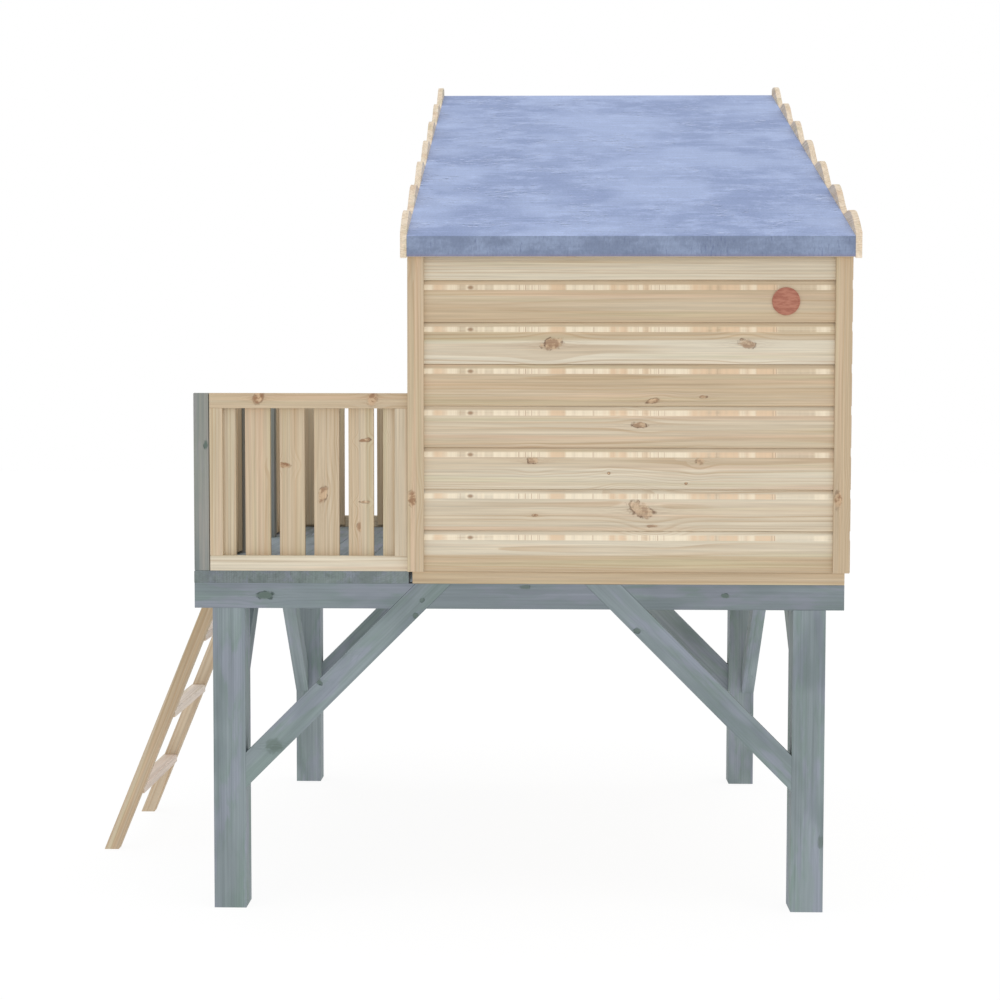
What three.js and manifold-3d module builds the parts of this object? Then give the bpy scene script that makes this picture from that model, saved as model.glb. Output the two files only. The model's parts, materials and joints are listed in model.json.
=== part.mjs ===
// Stilt playhouse: a timber platform on four braced legs carries a boarded house with a single-slope
// felted roof, a railed porch with a ladder, and a hinged door in the porch wall.
// Millimetres, +Z up. X runs from the ladder to the back of the house, Y from the low wall to the
// high wall. The origin is on the ground, under the middle of the whole object.

import * as THREE from "three";
import { mergeVertices } from "three/addons/utils/BufferGeometryUtils.js";
import Module from "manifold-3d";

const wasm = await Module();
wasm.setup();

// Clearances
const fitGap = 0.3; // between touching faces that slope, and round a piece let into another
const overrun = 5; // how far a cutting tool runs past the face that it cuts

// Platform
const platformLength = 1800;
const platformDepth = 1800;
const legSide = 90;
const legInset = 50;
const legHeight = 845;
const beamHeight = 70;
const beamThickness = 45;
const lapDepth = 22;
const braceReach = 505; // along the leg, and along the beam, to the brace's lower edge
const braceWidth = 70;
const braceAngle = Math.PI / 4;

// Floor
const floorThickness = 34;
const porchDepth = 596;
const porchBoardCount = 4;
const porchBoardGap = 1;
const wallGap = 11; // from the porch floor to the house floor
const floorBoardThickness = 16;
const floorBoardCover = 96;
const floorGroove = 3;
const floorBattenWidth = 45;

// Railing
const railingHeight = 493;
const postSide = 42;
const panelGap = 2;
const wallClearance = 1;
const railHeight = 42;
const railThickness = 20;
const stileWidth = 36;
const slatWidth = 70;
const slatSpacing = 96;
const slatThickness = 16;
const slatSetback = 8; // from the rail's edge to the slat's end
const farSlatShift = 16; // how far the far panel's slats stand nearer to the wall
const gatePanelLength = 550;
const gateWidth = 600;

// Walls
const lowWallHeight = 917.2; // from the floor to the roof boards' underside, at the low frame's face
const claddingThickness = 12;
const claddingLift = 1;
const boardCover = 114.5;
const scoopHeight = 27;
const scoopRound = 15;
const scoopDepth = 5;
const trimWidth = 45;
const trimThickness = 12;
const backTrimSetback = 3;
const battenWidth = 45;
const frameThickness = 28;

// Roof
const roofPitch = (20 * Math.PI) / 180;
const roofBoardThickness = 16;
const edgeBattenThickness = 18;
const eaveClearance = 0.5;
const feltThickness = 2.2;
const feltDrop = 56;
const bargeboardThickness = 18;
const bargeboardDrop = 61;
const waveHeight = 40;
const wavePitch = 287;
const waveStartShare = 1 / 3; // first crest, as a share of the pitch behind the eave
const waveSteps = 14;
const rafterWidth = 28;
const rafterHeight = 70;

// Door
const doorWidth = 500;
const doorHeadroom = 75; // from the door's top to the roof boards, at its low edge
const doorGap = 4;
const doorFloorGap = 6;
const doorStop = 12;
const doorBoardThickness = 12;
const doorBoardCount = 5;
const doorGroove = 3;
const ledgeHeight = 70;
const ledgeThickness = 16;
const ledgeInset = 25;
const ledgeFromEnd = 120;
const knobRadius = 18;
const knobNeckRadius = 8;
const knobBaseRadius = 14;
const knobLength = 38;
const knobFromEdge = 45;

// Hinges
const hingePinRadius = 4;
const hingePinGap = 0.4;
const knuckleWall = 3;
const knuckleHeight = 20;
const knuckleGap = 0.5;
const hingeStandoff = 8; // from the door's face to the pin
const hingePlateThickness = 3;
const strapLength = 260;
const strapRootHalf = 14;
const strapTipHalf = 9;
const bracketLength = 60;
const bracketHeight = 60;
const roundSegments = 24;

// Window
const windowSide = 340; // its height; its width fills the wall between the margins
const windowMargin = 136; // from the door, and from the far corner
const windowCentreHeight = 800;
const windowTrimWidth = 30;
const windowTrimThickness = 12;
const windowBarWidth = 18;

// Ladder
const ladderTilt = (22.2 * Math.PI) / 180;
const ladderWidth = 566;
const ladderStileDepth = 42;
const ladderStileThickness = 34;
const treadCount = 3;
const firstTread = 200;
const treadSpacing = 244;
const treadThickness = 26;
const treadDepth = 46;
const treadSetback = 2; // how far the treads' middles lie behind the stiles'
const treadHousing = 10;

// Wall disc
const discRadius = 38;
const discThickness = 4;
const discRim = 4;
const discDish = 1;
const discFromBack = 170; // from the house frame's back to the disc's centre
const discFromRoof = 171.95; // from the roof boards' underside down to the disc's centre

// Heights and places that several pieces share
const beamTop = legHeight + beamHeight;
const floorTop = beamTop + floorThickness;
const railingTop = floorTop + railingHeight;
const houseStart = porchDepth + wallGap;
const houseEnd = platformLength;
const porchFace = houseStart - claddingThickness;
const backFace = houseEnd + claddingThickness;
const wallBottom = floorTop + claddingLift;
const slope = Math.tan(roofPitch);
const roofCover = (roofBoardThickness + fitGap + feltThickness) / Math.cos(roofPitch);
const eaveReach =
  claddingThickness + trimThickness + eaveClearance + edgeBattenThickness + fitGap + feltThickness;
const roofStart = -eaveReach;
const roofEnd = platformDepth + eaveReach;
const gateStart = 2 * postSide + 2 * panelGap + gatePanelLength;
const gateEnd = gateStart + gateWidth;
const gateCentre = (gateStart + gateEnd) / 2;
const doorNear = gateCentre - doorWidth / 2;
const doorFar = gateCentre + doorWidth / 2;
const doorBottom = floorTop + doorFloorGap;
const doorTop = roofUnderside(doorNear) - doorHeadroom;
const doorMiddle = (doorBottom + doorTop) / 2;
const windowLow = floorTop + windowCentreHeight - windowSide / 2;
const windowHigh = windowLow + windowSide;
const windowNear = doorFar + windowMargin;
const windowFar = platformDepth - windowMargin;
const windowCentre = (windowNear + windowFar) / 2;
const hingeX = porchFace - hingeStandoff;
const hingeY = doorFar + doorGap / 2;
const ladderStileRun = ladderStileDepth / Math.cos(ladderTilt);
const ladderLean = Math.tan(ladderTilt);
const ladderFoot = -beamTop * ladderLean - ladderStileRun;
const ladderNear = gateCentre - ladderWidth / 2;
const ladderFar = gateCentre + ladderWidth / 2;

// Finishes
const pineColour = 0xdcc9a3;
const darkPineColour = 0xc6b088;
const stainedColour = 0x7f8b8f;
const feltColour = 0xa3b2d6;
const steelColour = 0x8f9397;
const copperColour = 0xbe7a66;
const axisX = new THREE.Vector3(1, 0, 0);
const axisY = new THREE.Vector3(0, 1, 0);
const axisZ = new THREE.Vector3(0, 0, 1);

// A new plain timber finish of the given colour.
function timber(color) {
  return new THREE.MeshStandardMaterial({ color, roughness: 0.75, metalness: 0 });
}

function felt() {
  return new THREE.MeshStandardMaterial({ color: feltColour, roughness: 0.85, metalness: 0 });
}

function steel() {
  return new THREE.MeshStandardMaterial({ color: steelColour, roughness: 0.4, metalness: 0.8 });
}

function copper() {
  return new THREE.MeshStandardMaterial({ color: copperColour, roughness: 0.5, metalness: 0.3 });
}

// Height of the roof boards' underside at a given Y.
function roofUnderside(y) {
  return floorTop + lowWallHeight + y * slope;
}

// Height of the felt's top at a given Y.
function feltTop(y) {
  return roofUnderside(y) + roofCover;
}

// A block between its lowest and its highest corner.
function block(low, high) {
  const size = high.map((value, i) => value - low[i]);
  const middle = high.map((value, i) => (value + low[i]) / 2);
  return new THREE.BoxGeometry(...size).translate(...middle);
}

// A closed outline drawn out along one axis: "x" takes [y, z] points, "y" takes [x, z] points.
function prism(axis, outline, start, end) {
  const shape = new THREE.Shape(outline.map(([a, b]) => new THREE.Vector2(a, b)));
  const body = new THREE.ExtrudeGeometry(shape, { depth: end - start, bevelEnabled: false });
  if (axis === "x") {
    body.translate(0, 0, start);
    return body.applyMatrix4(new THREE.Matrix4().makeBasis(axisY, axisZ, axisX));
  }
  body.translate(0, 0, -end);
  return body.applyMatrix4(new THREE.Matrix4().makeBasis(axisX, axisZ, axisY.clone().negate()));
}

// A round piece turned about an upright axis, from [radius, height] points.
function turned(profile, x, y, z) {
  const points = profile.map(([radius, height]) => new THREE.Vector2(radius, height));
  const body = new THREE.LatheGeometry(points, roundSegments);
  return body.rotateX(Math.PI / 2).translate(x, y, z);
}

// A plain upright round bar.
function bar(radius, x, y, low, high) {
  const outline = [[0, low], [radius, low], [radius, high], [0, high]];
  return turned(outline, x, y, 0);
}

// The closed solid that a geometry bounds.
function toSolid(geometry) {
  const bare = geometry.clone();
  bare.deleteAttribute("normal");
  bare.deleteAttribute("uv");
  const merged = mergeVertices(bare);
  const vertProperties = new Float32Array(merged.attributes.position.array);
  const triVerts = new Uint32Array(merged.index.array);
  return new wasm.Manifold(new wasm.Mesh({ numProp: 3, vertProperties, triVerts }));
}

// The geometry of a solid's surface.
function toGeometry(solid) {
  const { vertProperties, triVerts } = solid.getMesh();
  const geometry = new THREE.BufferGeometry();
  geometry.setAttribute("position", new THREE.BufferAttribute(vertProperties, 3));
  geometry.setIndex(new THREE.BufferAttribute(triVerts, 1));
  geometry.computeVertexNormals();
  return geometry;
}

function fuse(...pieces) {
  return toGeometry(pieces.map(toSolid).reduce((whole, piece) => whole.add(piece)));
}

function cut(body, ...tools) {
  return toGeometry(tools.map(toSolid).reduce((left, tool) => left.subtract(tool), toSolid(body)));
}

// The same piece on the other side of the platform's middle, across X or across Y.
function mirrored(geometry, axis) {
  const flip = axis === "x" ? [-1, 1, 1] : [1, -1, 1];
  const move = axis === "x" ? [platformLength, 0, 0] : [0, platformDepth, 0];
  const copy = geometry.index ? geometry.toNonIndexed() : geometry.clone();
  copy.scale(...flip).translate(...move);
  const corners = copy.attributes.position;
  const third = new THREE.Vector3();
  const second = new THREE.Vector3();
  for (let i = 0; i < corners.count; i += 3) {
    second.fromBufferAttribute(corners, i + 1);
    third.fromBufferAttribute(corners, i + 2);
    corners.setXYZ(i + 1, third.x, third.y, third.z);
    corners.setXYZ(i + 2, second.x, second.y, second.z);
  }
  copy.computeVertexNormals();
  return copy;
}

const playhouse = new THREE.Group();
playhouse.position.x = -(ladderFoot + backFace + bargeboardThickness) / 2;
playhouse.position.y = -(roofStart + roofEnd) / 2;

function place(name, geometry, material) {
  const mesh = new THREE.Mesh(geometry, material);
  mesh.name = name;
  playhouse.add(mesh);
}

// Places the piece of the near porch corner and its copies at the other three corners.
function placeAtCorners(name, geometry, material) {
  place(`${name}_porch_near`, geometry, material());
  place(`${name}_porch_far`, mirrored(geometry, "y"), material());
  place(`${name}_back_near`, mirrored(geometry, "x"), material());
  place(`${name}_back_far`, mirrored(mirrored(geometry, "x"), "y"), material());
}

const stained = () => timber(stainedColour);
const pine = () => timber(pineColour);
const darkPine = () => timber(darkPineColour);

// A brace's outline in its own plane: distance from the leg's inner face, and height. It runs from
// the leg up over the beam's face, to the beam's top. A margin grows it on its two long edges.
function braceOutline(margin) {
  const spread = margin / Math.cos(braceAngle);
  const band = braceWidth / Math.cos(braceAngle);
  const foot = legHeight - braceReach;
  const lowEdge = (height) => height - foot + spread;
  const highEdge = (height) => height - foot - band - spread;
  return {
    below: [[0, foot - spread], [lowEdge(legHeight), legHeight], [highEdge(legHeight), legHeight],
      [0, foot + band + spread]],
    lap: [[lowEdge(legHeight), legHeight], [lowEdge(beamTop), beamTop],
      [highEdge(beamTop), beamTop], [highEdge(legHeight), legHeight]],
  };
}

// One brace, on the "x" or the "y" beam, with its long axis shifted to the leg's inner face. The part
// under the beam is as thick as the beam, and the part over the beam's face is the thinner lap.
function brace(axis) {
  const { below, lap } = braceOutline(0);
  const along = axis === "x" ? legInset + legSide : legSide;
  const face = axis === "x" ? 0 : legInset;
  const across = axis === "x" ? "y" : "x";
  const shift = ([run, height]) => [along + run, height];
  const body = prism(across, below.map(shift), face, face + beamThickness - fitGap);
  const tongue = prism(across, lap.map(shift), face, face + lapDepth);
  return fuse(body.translate(0, 0, -fitGap), tongue.translate(0, 0, -fitGap));
}

// The slanted housing that a brace's lap lies in, in the face of the beam above it.
function lapHousing(axis) {
  const { lap } = braceOutline(fitGap);
  const along = axis === "x" ? legInset + legSide : legSide;
  const face = axis === "x" ? 0 : legInset;
  const across = axis === "x" ? "y" : "x";
  const stretched = lap.map(([run, height]) => {
    const past = height > legHeight ? overrun : -overrun;
    return [along + run + past, height + past];
  });
  return prism(across, stretched, face - overrun, face + lapDepth + fitGap);
}

function addLegs() {
  const leg = block([legInset, 0, 0], [legInset + legSide, legSide, legHeight]);
  placeAtCorners("leg", leg, stained);
}

function addBeams() {
  const long = block([0, 0, legHeight], [platformLength, beamThickness, beamTop]);
  const housing = lapHousing("x");
  const near = cut(long, housing, mirrored(housing, "x"));
  place("beam_near", near, stained());
  place("beam_far", mirrored(near, "y"), stained());
  const low = [legInset, beamThickness, legHeight];
  const high = [legInset + beamThickness, platformDepth - beamThickness, beamTop];
  const sideHousing = lapHousing("y");
  const porch = cut(block(low, high), sideHousing, mirrored(sideHousing, "y"));
  place("cross_beam_porch", porch, stained());
  place("cross_beam_back", mirrored(porch, "x"), stained());
  const inner = legInset + beamThickness;
  const half = beamThickness / 2;
  const joistLow = [inner, platformDepth / 2 - half, legHeight];
  const joistHigh = [platformLength - inner, platformDepth / 2 + half, beamTop];
  place("middle_joist", block(joistLow, joistHigh), stained());
}

function addBraces() {
  placeAtCorners("long_brace", brace("x"), stained);
  placeAtCorners("side_brace", brace("y"), stained);
}

function addPorchFloor() {
  const width = (porchDepth - (porchBoardCount - 1) * porchBoardGap) / porchBoardCount;
  for (let i = 0; i < porchBoardCount; i += 1) {
    const start = i * (width + porchBoardGap);
    const board = block([start, 0, beamTop], [start + width, platformDepth, floorTop]);
    place(`porch_board_${i + 1}`, board, stained());
  }
}

// The house floor: grooved boards let into a batten frame, with two battens under the boards.
function addHouseFloor() {
  const underside = floorTop - floorBoardThickness;
  const inner = [houseStart + floorBattenWidth, floorBattenWidth];
  const outer = [houseEnd - floorBattenWidth, platformDepth - floorBattenWidth];
  const slab = block([houseStart, 0, beamTop], [houseEnd, platformDepth, floorTop]);
  const hollows = [];
  const bays = 3;
  const bayLength = (outer[0] - inner[0] - (bays - 1) * floorBattenWidth) / bays;
  for (let i = 0; i < bays; i += 1) {
    const start = inner[0] + i * (bayLength + floorBattenWidth);
    hollows.push(block([start, inner[1], beamTop - overrun], [start + bayLength, outer[1], underside]));
  }
  for (let x = inner[0]; x < outer[0]; x += floorBoardCover) {
    const low = [x, inner[1], floorTop - floorGroove];
    hollows.push(block(low, [x + floorGroove, outer[1], floorTop + overrun]));
  }
  place("house_floor", cut(slab, ...hollows), pine());
}

// A railing panel between two places along its axis: a flush frame with upright slats behind it.
// The slats are spread evenly, moved along by a shift, and the last one ends with the panel.
function railing(axis, start, end, shift = 0) {
  const span = (from, to, low, high, depth) => {
    const [near, far] = depth;
    if (axis === "x") return block([from, near, low], [to, far, high]);
    return block([near, from, low], [far, to, high]);
  };
  const frame = [0, railThickness];
  const behind = [railThickness, railThickness + slatThickness];
  const pieces = [
    span(start, end, floorTop, floorTop + railHeight, frame),
    span(start, end, railingTop - railHeight, railingTop, frame),
    span(start, start + stileWidth, floorTop, railingTop, frame),
    span(end - stileWidth, end, floorTop, railingTop, frame),
  ];
  const travel = end - start - slatWidth;
  const gaps = Math.max(1, Math.round(travel / slatSpacing));
  for (let i = 0; i <= gaps; i += 1) {
    const from = start + (travel * i) / gaps + shift;
    const to = Math.min(from + slatWidth, end);
    pieces.push(span(from, to, floorTop + slatSetback, railingTop - slatSetback, behind));
  }
  return fuse(...pieces);
}

function addRailing() {
  const post = (y) => block([0, y, floorTop], [postSide, y + postSide, railingTop]);
  place("corner_post_near", post(0), stained());
  place("corner_post_far", post(platformDepth - postSide), stained());
  place("gate_post_near", post(gateStart - postSide), stained());
  place("gate_post_far", post(gateEnd), stained());
  const sideStart = postSide + panelGap;
  const sideEnd = porchFace - wallClearance;
  place("side_railing_near", railing("x", sideStart, sideEnd), pine());
  const farSide = railing("x", sideStart, sideEnd, farSlatShift);
  place("side_railing_far", mirrored(farSide, "y"), pine());
  const nearEnd = gateStart - postSide - panelGap;
  place("front_railing_near", railing("y", postSide + panelGap, nearEnd), pine());
  const farStart = gateEnd + postSide + panelGap;
  const farEnd = platformDepth - postSide - panelGap;
  place("front_railing_far", railing("y", farStart, farEnd), pine());
}

// The outer edge of a stack of shiplap boards, each scooped along its top, as [distance out, height].
function shiplapOutline(top) {
  const outline = [[0, wallBottom]];
  const boards = Math.ceil((top - wallBottom) / boardCover);
  const roundSteps = 4;
  for (let i = 0; i < boards; i += 1) {
    const low = wallBottom + i * boardCover;
    const high = low + boardCover;
    outline.push([claddingThickness, low]);
    for (let k = 0; k <= roundSteps; k += 1) {
      const turn = (Math.PI / 2) * (k / roundSteps);
      const out = claddingThickness - scoopDepth * (1 - Math.cos(turn));
      outline.push([out, high - scoopHeight + scoopRound * Math.sin(turn)]);
    }
    outline.push([claddingThickness - scoopDepth, high]);
  }
  outline.push([0, wallBottom + boards * boardCover]);
  return outline;
}

// The space that the roof takes, down to a small gap under its boards.
function roofSpace() {
  const low = roofUnderside(roofStart) - fitGap;
  const high = roofUnderside(roofEnd) - fitGap;
  const above = high + 2 * boardCover;
  const outline = [[roofStart, low], [roofEnd, high], [roofEnd, above], [roofStart, above]];
  return prism("x", outline, porchFace - overrun, backFace + overrun);
}

// The way through the porch wall for the door, with its sides moved out by a margin.
function doorway(margin) {
  const low = [porchFace - overrun, doorNear - margin, floorTop - overrun];
  return block(low, [houseStart + frameThickness + overrun, doorFar + margin, doorTop + margin]);
}

function windowHole() {
  const low = [porchFace - overrun, windowNear, windowLow];
  return block(low, [houseStart + frameThickness + overrun, windowFar, windowHigh]);
}

function addCladding() {
  const lowBoards = shiplapOutline(roofUnderside(0)).map(([out, z]) => [-out, z]);
  const highBoards = shiplapOutline(roofUnderside(roofEnd));
  const nearWall = prism("x", lowBoards, houseStart, houseEnd);
  place("cladding_low", cut(nearWall, roofSpace()), pine());
  const farWall = prism("x", highBoards.map(([out, z]) => [platformDepth + out, z]), houseStart, houseEnd);
  place("cladding_high", cut(farWall, roofSpace()), pine());
  const ends = [-claddingThickness, platformDepth + claddingThickness];
  const porchWall = prism("y", highBoards.map(([out, z]) => [houseStart - out, z]), ...ends);
  place("cladding_porch", cut(porchWall, roofSpace(), doorway(doorGap), windowHole()), pine());
  const backWall = prism("y", highBoards.map(([out, z]) => [houseEnd + out, z]), ...ends);
  place("cladding_back", cut(backWall, roofSpace()), pine());
}

function addCornerTrims() {
  const near = [-claddingThickness - trimThickness, -claddingThickness];
  const far = [platformDepth + claddingThickness, platformDepth + claddingThickness + trimThickness];
  const backEdge = backFace - backTrimSetback;
  for (const [side, [from, to]] of [["near", near], ["far", far]]) {
    const top = roofUnderside(to) + boardCover;
    const porch = block([porchFace, from, wallBottom], [porchFace + trimWidth, to, top]);
    place(`corner_trim_porch_${side}`, cut(porch, roofSpace()), pine());
    const back = block([backEdge - trimWidth, from, wallBottom], [backEdge, to, top]);
    place(`corner_trim_back_${side}`, cut(back, roofSpace()), pine());
  }
}

// A frame of battens along X, behind a long wall, between two Y places.
function longFrame(from, to) {
  const top = roofUnderside(to);
  const middle = (houseStart + houseEnd) / 2 - battenWidth / 2;
  const plateTop = roofUnderside(from) - battenWidth;
  const stud = (x) => block([x, from, floorTop], [x + battenWidth, to, top]);
  const pieces = [
    block([houseStart, from, floorTop], [houseEnd, to, floorTop + battenWidth]),
    block([houseStart, from, plateTop], [houseEnd, to, top]),
    stud(houseStart),
    stud(middle),
    stud(houseEnd - battenWidth),
  ];
  return cut(fuse(...pieces), roofSpace());
}

// A plate that follows the roof across a side wall.
function rakedPlate(start, from, to) {
  const bottom = (y) => roofUnderside(y) - battenWidth;
  const outline = [[from, bottom(from)], [to, bottom(to)], [to, roofUnderside(to)],
    [from, roofUnderside(from)]];
  return prism("x", outline, start, start + frameThickness);
}

function porchFrame() {
  const from = frameThickness;
  const to = platformDepth - frameThickness;
  const end = houseStart + frameThickness;
  const upright = (y) => {
    const top = roofUnderside(y + battenWidth);
    return block([houseStart, y, floorTop], [end, y + battenWidth, top]);
  };
  const level = (near, far, z) => block([houseStart, near, z], [end, far, z + battenWidth]);
  const stopNear = doorNear + doorStop;
  const stopFar = doorFar - doorStop;
  const pieces = [
    level(from, stopNear, floorTop),
    level(stopFar, to, floorTop),
    rakedPlate(houseStart, from, to),
    upright(from),
    upright(stopNear - battenWidth),
    upright(stopFar),
    upright(to - battenWidth),
    upright(windowNear - battenWidth),
    upright(windowFar),
    level(stopNear, stopFar, doorTop - doorStop),
    level(windowNear, windowFar, windowLow - battenWidth),
    level(windowNear, windowFar, windowHigh),
  ];
  return cut(fuse(...pieces), roofSpace());
}

function backFrame() {
  const from = frameThickness;
  const to = platformDepth - frameThickness;
  const start = houseEnd - frameThickness;
  const middle = (from + to) / 2 - battenWidth / 2;
  const pieces = [
    block([start, from, floorTop], [houseEnd, to, floorTop + battenWidth]),
    rakedPlate(start, from, to),
  ];
  for (const y of [from, middle, to - battenWidth]) {
    const top = roofUnderside(y + battenWidth);
    pieces.push(block([start, y, floorTop], [houseEnd, y + battenWidth, top]));
  }
  return cut(fuse(...pieces), roofSpace());
}

function addWallFrames() {
  place("frame_low", longFrame(0, frameThickness), pine());
  place("frame_high", longFrame(platformDepth - frameThickness, platformDepth), pine());
  place("frame_porch", porchFrame(), pine());
  place("frame_back", backFrame(), pine());
}

// The roof panel: sloping boards with an edge batten hanging under their low and their high end.
function addRoofPanel() {
  const low = roofStart + feltThickness + fitGap;
  const high = roofEnd - feltThickness - fitGap;
  const boards = roofBoardThickness / Math.cos(roofPitch);
  const innerLow = low + edgeBattenThickness;
  const innerHigh = high - edgeBattenThickness;
  const outline = [
    [low, feltTop(roofStart) - feltDrop],
    [innerLow, feltTop(roofStart) - feltDrop],
    [innerLow, roofUnderside(innerLow)],
    [innerHigh, roofUnderside(innerHigh)],
    [innerHigh, feltTop(roofEnd) - feltDrop],
    [high, feltTop(roofEnd) - feltDrop],
    [high, roofUnderside(high) + boards],
    [low, roofUnderside(low) + boards],
  ];
  place("roof_panel", prism("x", outline, porchFace, backFace), pine());
}

// One felt sheet over the boards, turned down over both edge battens.
function addFelt() {
  const sheet = feltThickness / Math.cos(roofPitch);
  const low = roofStart + feltThickness;
  const high = roofEnd - feltThickness;
  const outline = [
    [roofStart, feltTop(roofStart) - feltDrop],
    [low, feltTop(roofStart) - feltDrop],
    [low, feltTop(low) - sheet],
    [high, feltTop(high) - sheet],
    [high, feltTop(roofEnd) - feltDrop],
    [roofEnd, feltTop(roofEnd) - feltDrop],
    [roofEnd, feltTop(roofEnd)],
    [roofStart, feltTop(roofStart)],
  ];
  place("roof_felt", prism("x", outline, porchFace, backFace), felt());
}

// A bargeboard's top edge is a run of equal waves above the felt; its bottom edge is straight.
function addBargeboards() {
  const run = roofEnd - roofStart;
  const steps = Math.ceil((run / wavePitch) * waveSteps);
  const outline = [
    [roofStart, feltTop(roofStart) - bargeboardDrop],
    [roofEnd, feltTop(roofEnd) - bargeboardDrop],
  ];
  for (let i = steps; i >= 0; i -= 1) {
    const along = (run * i) / steps;
    const phase = 2 * Math.PI * (along / wavePitch - waveStartShare);
    const lift = (waveHeight * (1 + Math.cos(phase))) / 2;
    outline.push([roofStart + along, feltTop(roofStart + along) + lift]);
  }
  const porch = prism("x", outline, porchFace - bargeboardThickness, porchFace);
  place("bargeboard_porch", porch, pine());
  place("bargeboard_back", prism("x", outline, backFace, backFace + bargeboardThickness), pine());
}

// One rafter under the middle of the roof boards, between the two long frames.
function addRafter() {
  const middle = (houseStart + houseEnd) / 2;
  const from = frameThickness + fitGap;
  const to = platformDepth - frameThickness - fitGap;
  const top = (y) => roofUnderside(y) - fitGap;
  const outline = [[from, top(from) - rafterHeight], [to, top(to) - rafterHeight], [to, top(to)],
    [from, top(from)]];
  const start = middle - rafterWidth / 2;
  place("rafter", prism("x", outline, start, start + rafterWidth), pine());
}

// The door leaf: upright boards with a groove at each joint, two ledges and a slanting brace inside.
function addDoorLeaf() {
  const inner = porchFace + doorBoardThickness;
  const width = doorFar - doorNear;
  const boards = block([porchFace, doorNear, doorBottom], [inner, doorFar, doorTop]);
  const grooves = [];
  for (let i = 1; i < doorBoardCount; i += 1) {
    const y = doorNear + (width * i) / doorBoardCount;
    const low = [porchFace - overrun, y - doorGroove / 2, doorBottom - overrun];
    grooves.push(block(low, [porchFace + doorGroove, y + doorGroove / 2, doorTop + overrun]));
  }
  const back = inner + ledgeThickness;
  const ledge = (z) => {
    return block([inner, doorNear + ledgeInset, z], [back, doorFar - ledgeInset, z + ledgeHeight]);
  };
  const lowLedge = doorBottom + ledgeFromEnd;
  const highLedge = doorTop - ledgeFromEnd - ledgeHeight;
  const from = doorFar - ledgeInset;
  const to = doorNear + ledgeInset;
  const outline = [[from, lowLedge + ledgeHeight], [from - ledgeHeight, lowLedge + ledgeHeight],
    [to, highLedge], [to + ledgeHeight, highLedge]];
  const slant = prism("x", outline, inner, back);
  place("door_leaf", fuse(cut(boards, ...grooves), ledge(lowLedge), ledge(highLedge), slant), pine());
}

// A turned knob on the door's outer face.
function addKnob() {
  const flareShare = 0.15;
  const neckShare = 0.45;
  const headShare = 0.7;
  const crownShare = 0.75;
  const profile = [
    [0, 0],
    [knobBaseRadius, 0],
    [knobBaseRadius, knobLength * flareShare],
    [knobNeckRadius, knobLength * (flareShare + neckShare) / 2],
    [knobNeckRadius, knobLength * neckShare],
    [knobRadius, knobLength * headShare],
    [knobRadius * crownShare, knobLength * (1 + headShare) / 2],
    [0, knobLength],
  ];
  const points = profile.map(([radius, out]) => new THREE.Vector2(radius, out));
  const body = new THREE.LatheGeometry(points, roundSegments).rotateZ(Math.PI / 2);
  place("door_knob", body.translate(porchFace, doorNear + knobFromEdge, doorMiddle), darkPine());
}

// The flat band of the shiplap board nearest to a height: its middle.
function flatBandNear(height) {
  const flat = (boardCover - scoopHeight) / 2;
  const board = Math.round((height - wallBottom - flat) / boardCover);
  return wallBottom + board * boardCover + flat;
}

// A long strap with an eye that turns on the pin. It tapers to a round tip.
function hingeStrap(z) {
  const eye = hingePinRadius + hingePinGap + knuckleWall;
  const clear = eye + knuckleGap;
  const half = knuckleHeight / 2;
  const tip = hingeY - strapLength + strapTipHalf;
  const outline = [[hingeY, z - half], [hingeY, z + half], [hingeY - clear, z + half],
    [hingeY - clear - strapRootHalf, z + strapRootHalf]];
  const tipSteps = 8;
  for (let i = 0; i <= tipSteps; i += 1) {
    const turn = (Math.PI * i) / tipSteps;
    outline.push([tip - strapTipHalf * Math.sin(turn), z + strapTipHalf * Math.cos(turn)]);
  }
  outline.push([hingeY - clear - strapRootHalf, z - strapRootHalf], [hingeY - clear, z - half]);
  const strap = prism("x", outline, porchFace - hingePlateThickness, porchFace);
  const ring = bar(eye, hingeX, hingeY, z - half, z + half);
  const reach = half + overrun;
  const bore = bar(hingePinRadius + hingePinGap, hingeX, hingeY, z - reach, z + reach);
  return cut(fuse(strap, ring), bore);
}

// A wall plate with two eyes and the pin that the strap turns on.
function hingeBracket(z) {
  const eye = hingePinRadius + hingePinGap + knuckleWall;
  const half = knuckleHeight / 2;
  const inner = half + knuckleGap;
  const outer = bracketHeight / 2;
  const front = porchFace - hingePlateThickness;
  const plateStart = hingeY + eye + knuckleGap;
  const pieces = [
    block([front, plateStart, z - outer], [porchFace, plateStart + bracketLength, z + outer]),
    bar(hingePinRadius, hingeX, hingeY, z - outer, z + outer),
  ];
  for (const [low, high] of [[z - outer, z - inner], [z + inner, z + outer]]) {
    pieces.push(bar(eye, hingeX, hingeY, low, high));
    pieces.push(block([front, hingeY, low], [porchFace, plateStart + overrun, high]));
  }
  return fuse(...pieces);
}

function addHinges() {
  const fromEnd = ledgeFromEnd + ledgeHeight / 2;
  const heights = { lower: flatBandNear(doorBottom + fromEnd), upper: flatBandNear(doorTop - fromEnd) };
  for (const [name, z] of Object.entries(heights)) {
    place(`hinge_strap_${name}`, hingeStrap(z), steel());
    place(`hinge_bracket_${name}`, hingeBracket(z), steel());
  }
}

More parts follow.
